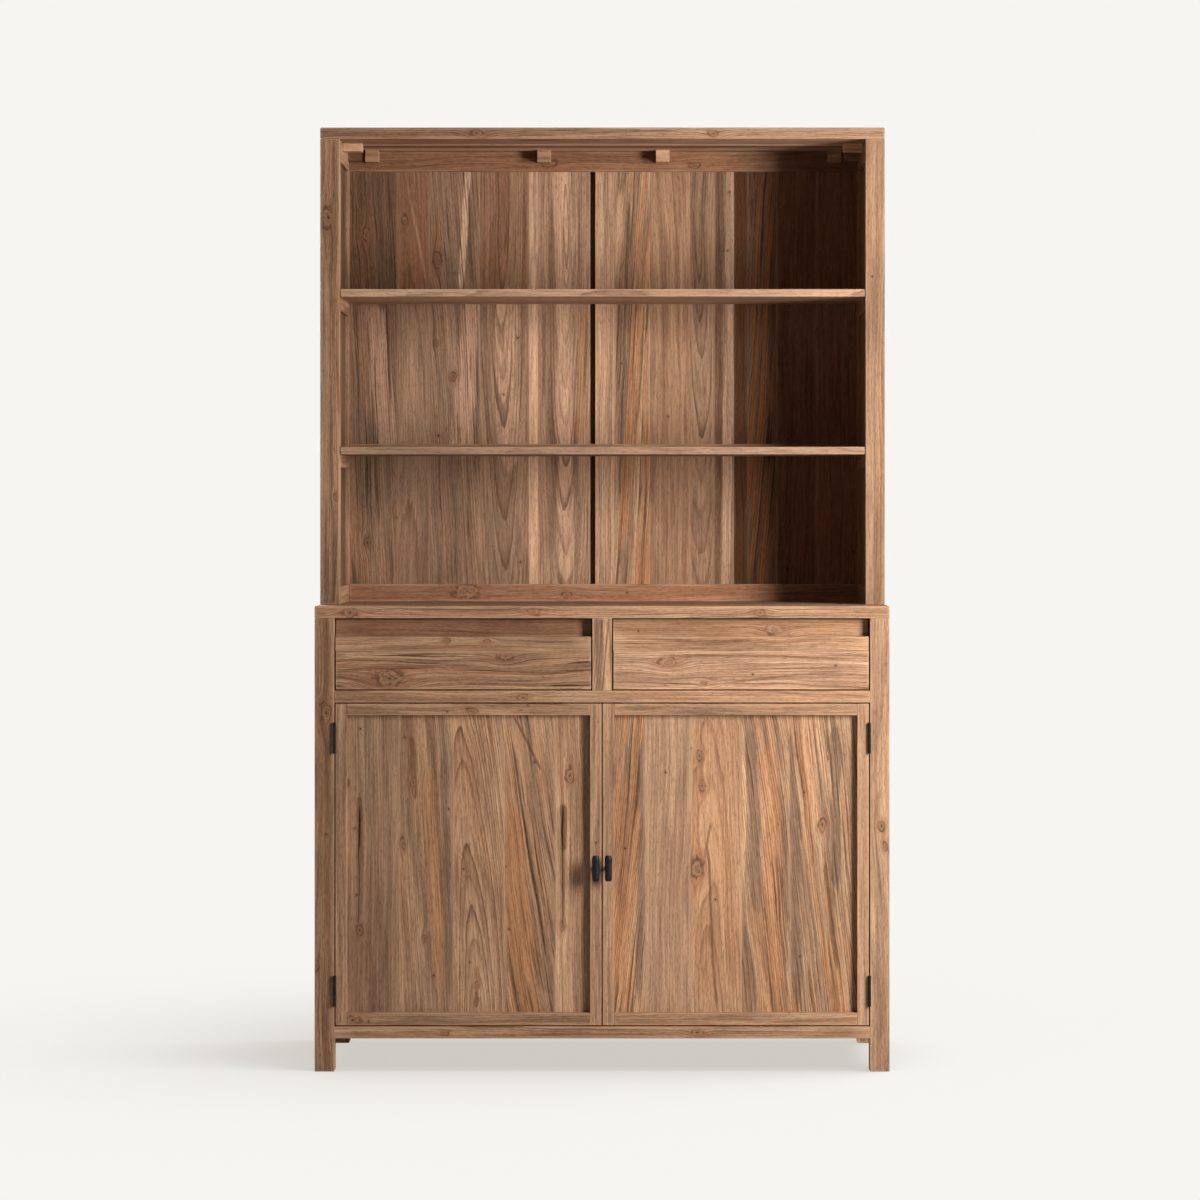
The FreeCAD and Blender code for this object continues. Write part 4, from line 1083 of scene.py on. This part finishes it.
# joining plates at the back, with their screws
plate = dict(x=579.5, width=24, z=(883.5, 1033.5), y=(236.5, 238.2), corner=8, heights=(16, 50, 100, 134))
points, faces = [], []
for side in (-1, 1):
    middle, hw, c, (low, high) = side * plate["x"], plate["width"] / 2, plate["corner"], plate["z"]
    outline = []
    for cx, cz, start in ((hw - c, high - c, 0), (-hw + c, high - c, 90), (-hw + c, low + c, 180),
                          (hw - c, low + c, 270)):
        outline += arc(middle + cx, cz, c, range(start, start + 91, 15))
    rings, z = [], (low + high) / 2
    for y, shrink in ((plate["y"][0], 0), (plate["y"][1] - .4, 0), (plate["y"][1], .5)):
        ring = []
        for px, pz, _ in outline:
            away = math.hypot(px - middle, pz - z)
            ring.append((px - (px - middle) / away * shrink, y, pz - (pz - z) / away * shrink))
        rings.append(ring)
    loft(rings, points, faces)
    for height in plate["heights"]:
        screwHead(1, 1, plate["y"][1], middle, low + height, dice.uniform(0, 3.1), points, faces)
metalPiece("joiningPlates", points, turnOut(points, faces), "carcass", "plate_steel", plateSteel, "joining_plates")
print("metal pieces done")

# floor, world, lamps and camera
stage = dict(paper=(.921, .913, .879), bounce=(.42, .415, .4), shade=(.45, .405, .365),
             light=(.62, -.3, .72), reach=16)


def paperFloor():
    material = bpy.data.materials.new("paperFloor")
    material.use_nodes = True
    material.node_tree.nodes.clear()
    bench = NodeBench(material.node_tree)
    # the paper the camera sees is darkened by ambient occlusion into the shade colour: a painted contact shadow
    # under the cabinet and a painted soft shadow cast away from the key lamp
    near = bench.put("AmbientOcclusion", {"Distance": .3}, samples=12).outputs["AO"]
    towards = bench.join(*stage["light"])   # open only towards the key lamp
    far = bench.put("AmbientOcclusion", {"Distance": 1.5, "Normal": towards}, samples=24).outputs["AO"]
    clear = bench.step(near, .15, .95, .8, 1) * bench.step(far, .45, .985, .45, 1)
    glow = bench.put("Emission", {"Color": bench.mix(clear, stage["shade"], stage["paper"])})
    dull = bench.put("BsdfDiffuse", {"Color": (*stage["bounce"], 1)})
    blend = bench.put("MixShader", {0: bench.seen(), 1: dull.outputs[0], 2: glow.outputs[0]})
    bench.put("OutputMaterial", {"Surface": blend.outputs[0]})
    return material


far = stage["reach"]
floorMesh = bpy.data.meshes.new("floor")
floorMesh.from_pydata([(-far, -far, 0), (far, -far, 0), (far, far, 0), (-far, far, 0)], [], [(0, 1, 2, 3)])
floorMesh.materials.append(paperFloor())
floor = bpy.data.objects.new("floor", floorMesh)
scene.collection.objects.link(floor)

sky = dict(fill=.085, tint=(1, .985, .96))
scene.world = bpy.data.worlds.new("studio")
scene.world.use_nodes = True
scene.world.node_tree.nodes.clear()
bench = NodeBench(scene.world.node_tree)
fill = tuple(sky["fill"] * part for part in sky["tint"])
backdrop = bench.put("Background", {"Color": bench.mix(bench.seen(), fill, stage["paper"])})
bench.put("OutputWorld", {"Surface": backdrop.outputs[0]})

lamps = dict(
    key=dict(at=(1.97, -1.73, 1.45), aim=(.05, -.1, 1.05), size=(.72, 1.5), power=110, tint=(1, .985, .965)),
    rear=dict(at=(-1.9, 2.9, 1.9), aim=(0, .2, .95), size=(1.6, 1.6), power=120, tint=(1, .99, .98)),
    above=dict(at=(0, .45, 4.4), aim=(0, .08, 1.98), size=(2.2, 1.4), power=50, tint=(1, .99, .98)),
    left=dict(at=(-3.4, .35, 1.5), aim=(-.6, .1, .95), size=(1.2, 1.6), power=55, tint=(1, .99, .98)),
)
for name, data in lamps.items():
    lamp = bpy.data.lights.new(name, "AREA")
    lamp.shape = "RECTANGLE"
    lamp.size, lamp.size_y = data["size"]
    lamp.energy, lamp.color = data["power"], data["tint"]
    holder = bpy.data.objects.new(name, lamp)
    holder.location = data["at"]
    aim = Vector(data["aim"]) - Vector(data["at"])
    holder.rotation_euler = aim.to_track_quat("-Z", "Y").to_euler()
    scene.collection.objects.link(holder)

camera = dict(at=(.05, -7.8115, 1.1676), lens=109.26, sensor=36, shift=(-.0217, -.0733), clip=100)
lens = bpy.data.cameras.new("camera")
lens.sensor_width, lens.lens, lens.clip_end = camera["sensor"], camera["lens"], camera["clip"]
lens.shift_x, lens.shift_y = camera["shift"]
viewer = bpy.data.objects.new("camera", lens)
viewer.location = camera["at"]
viewer.rotation_euler = (math.radians(90), 0, 0)
scene.collection.objects.link(viewer)
scene.camera = viewer
scene.view_settings.view_transform = "Standard"
print("stage, lamps and camera set")
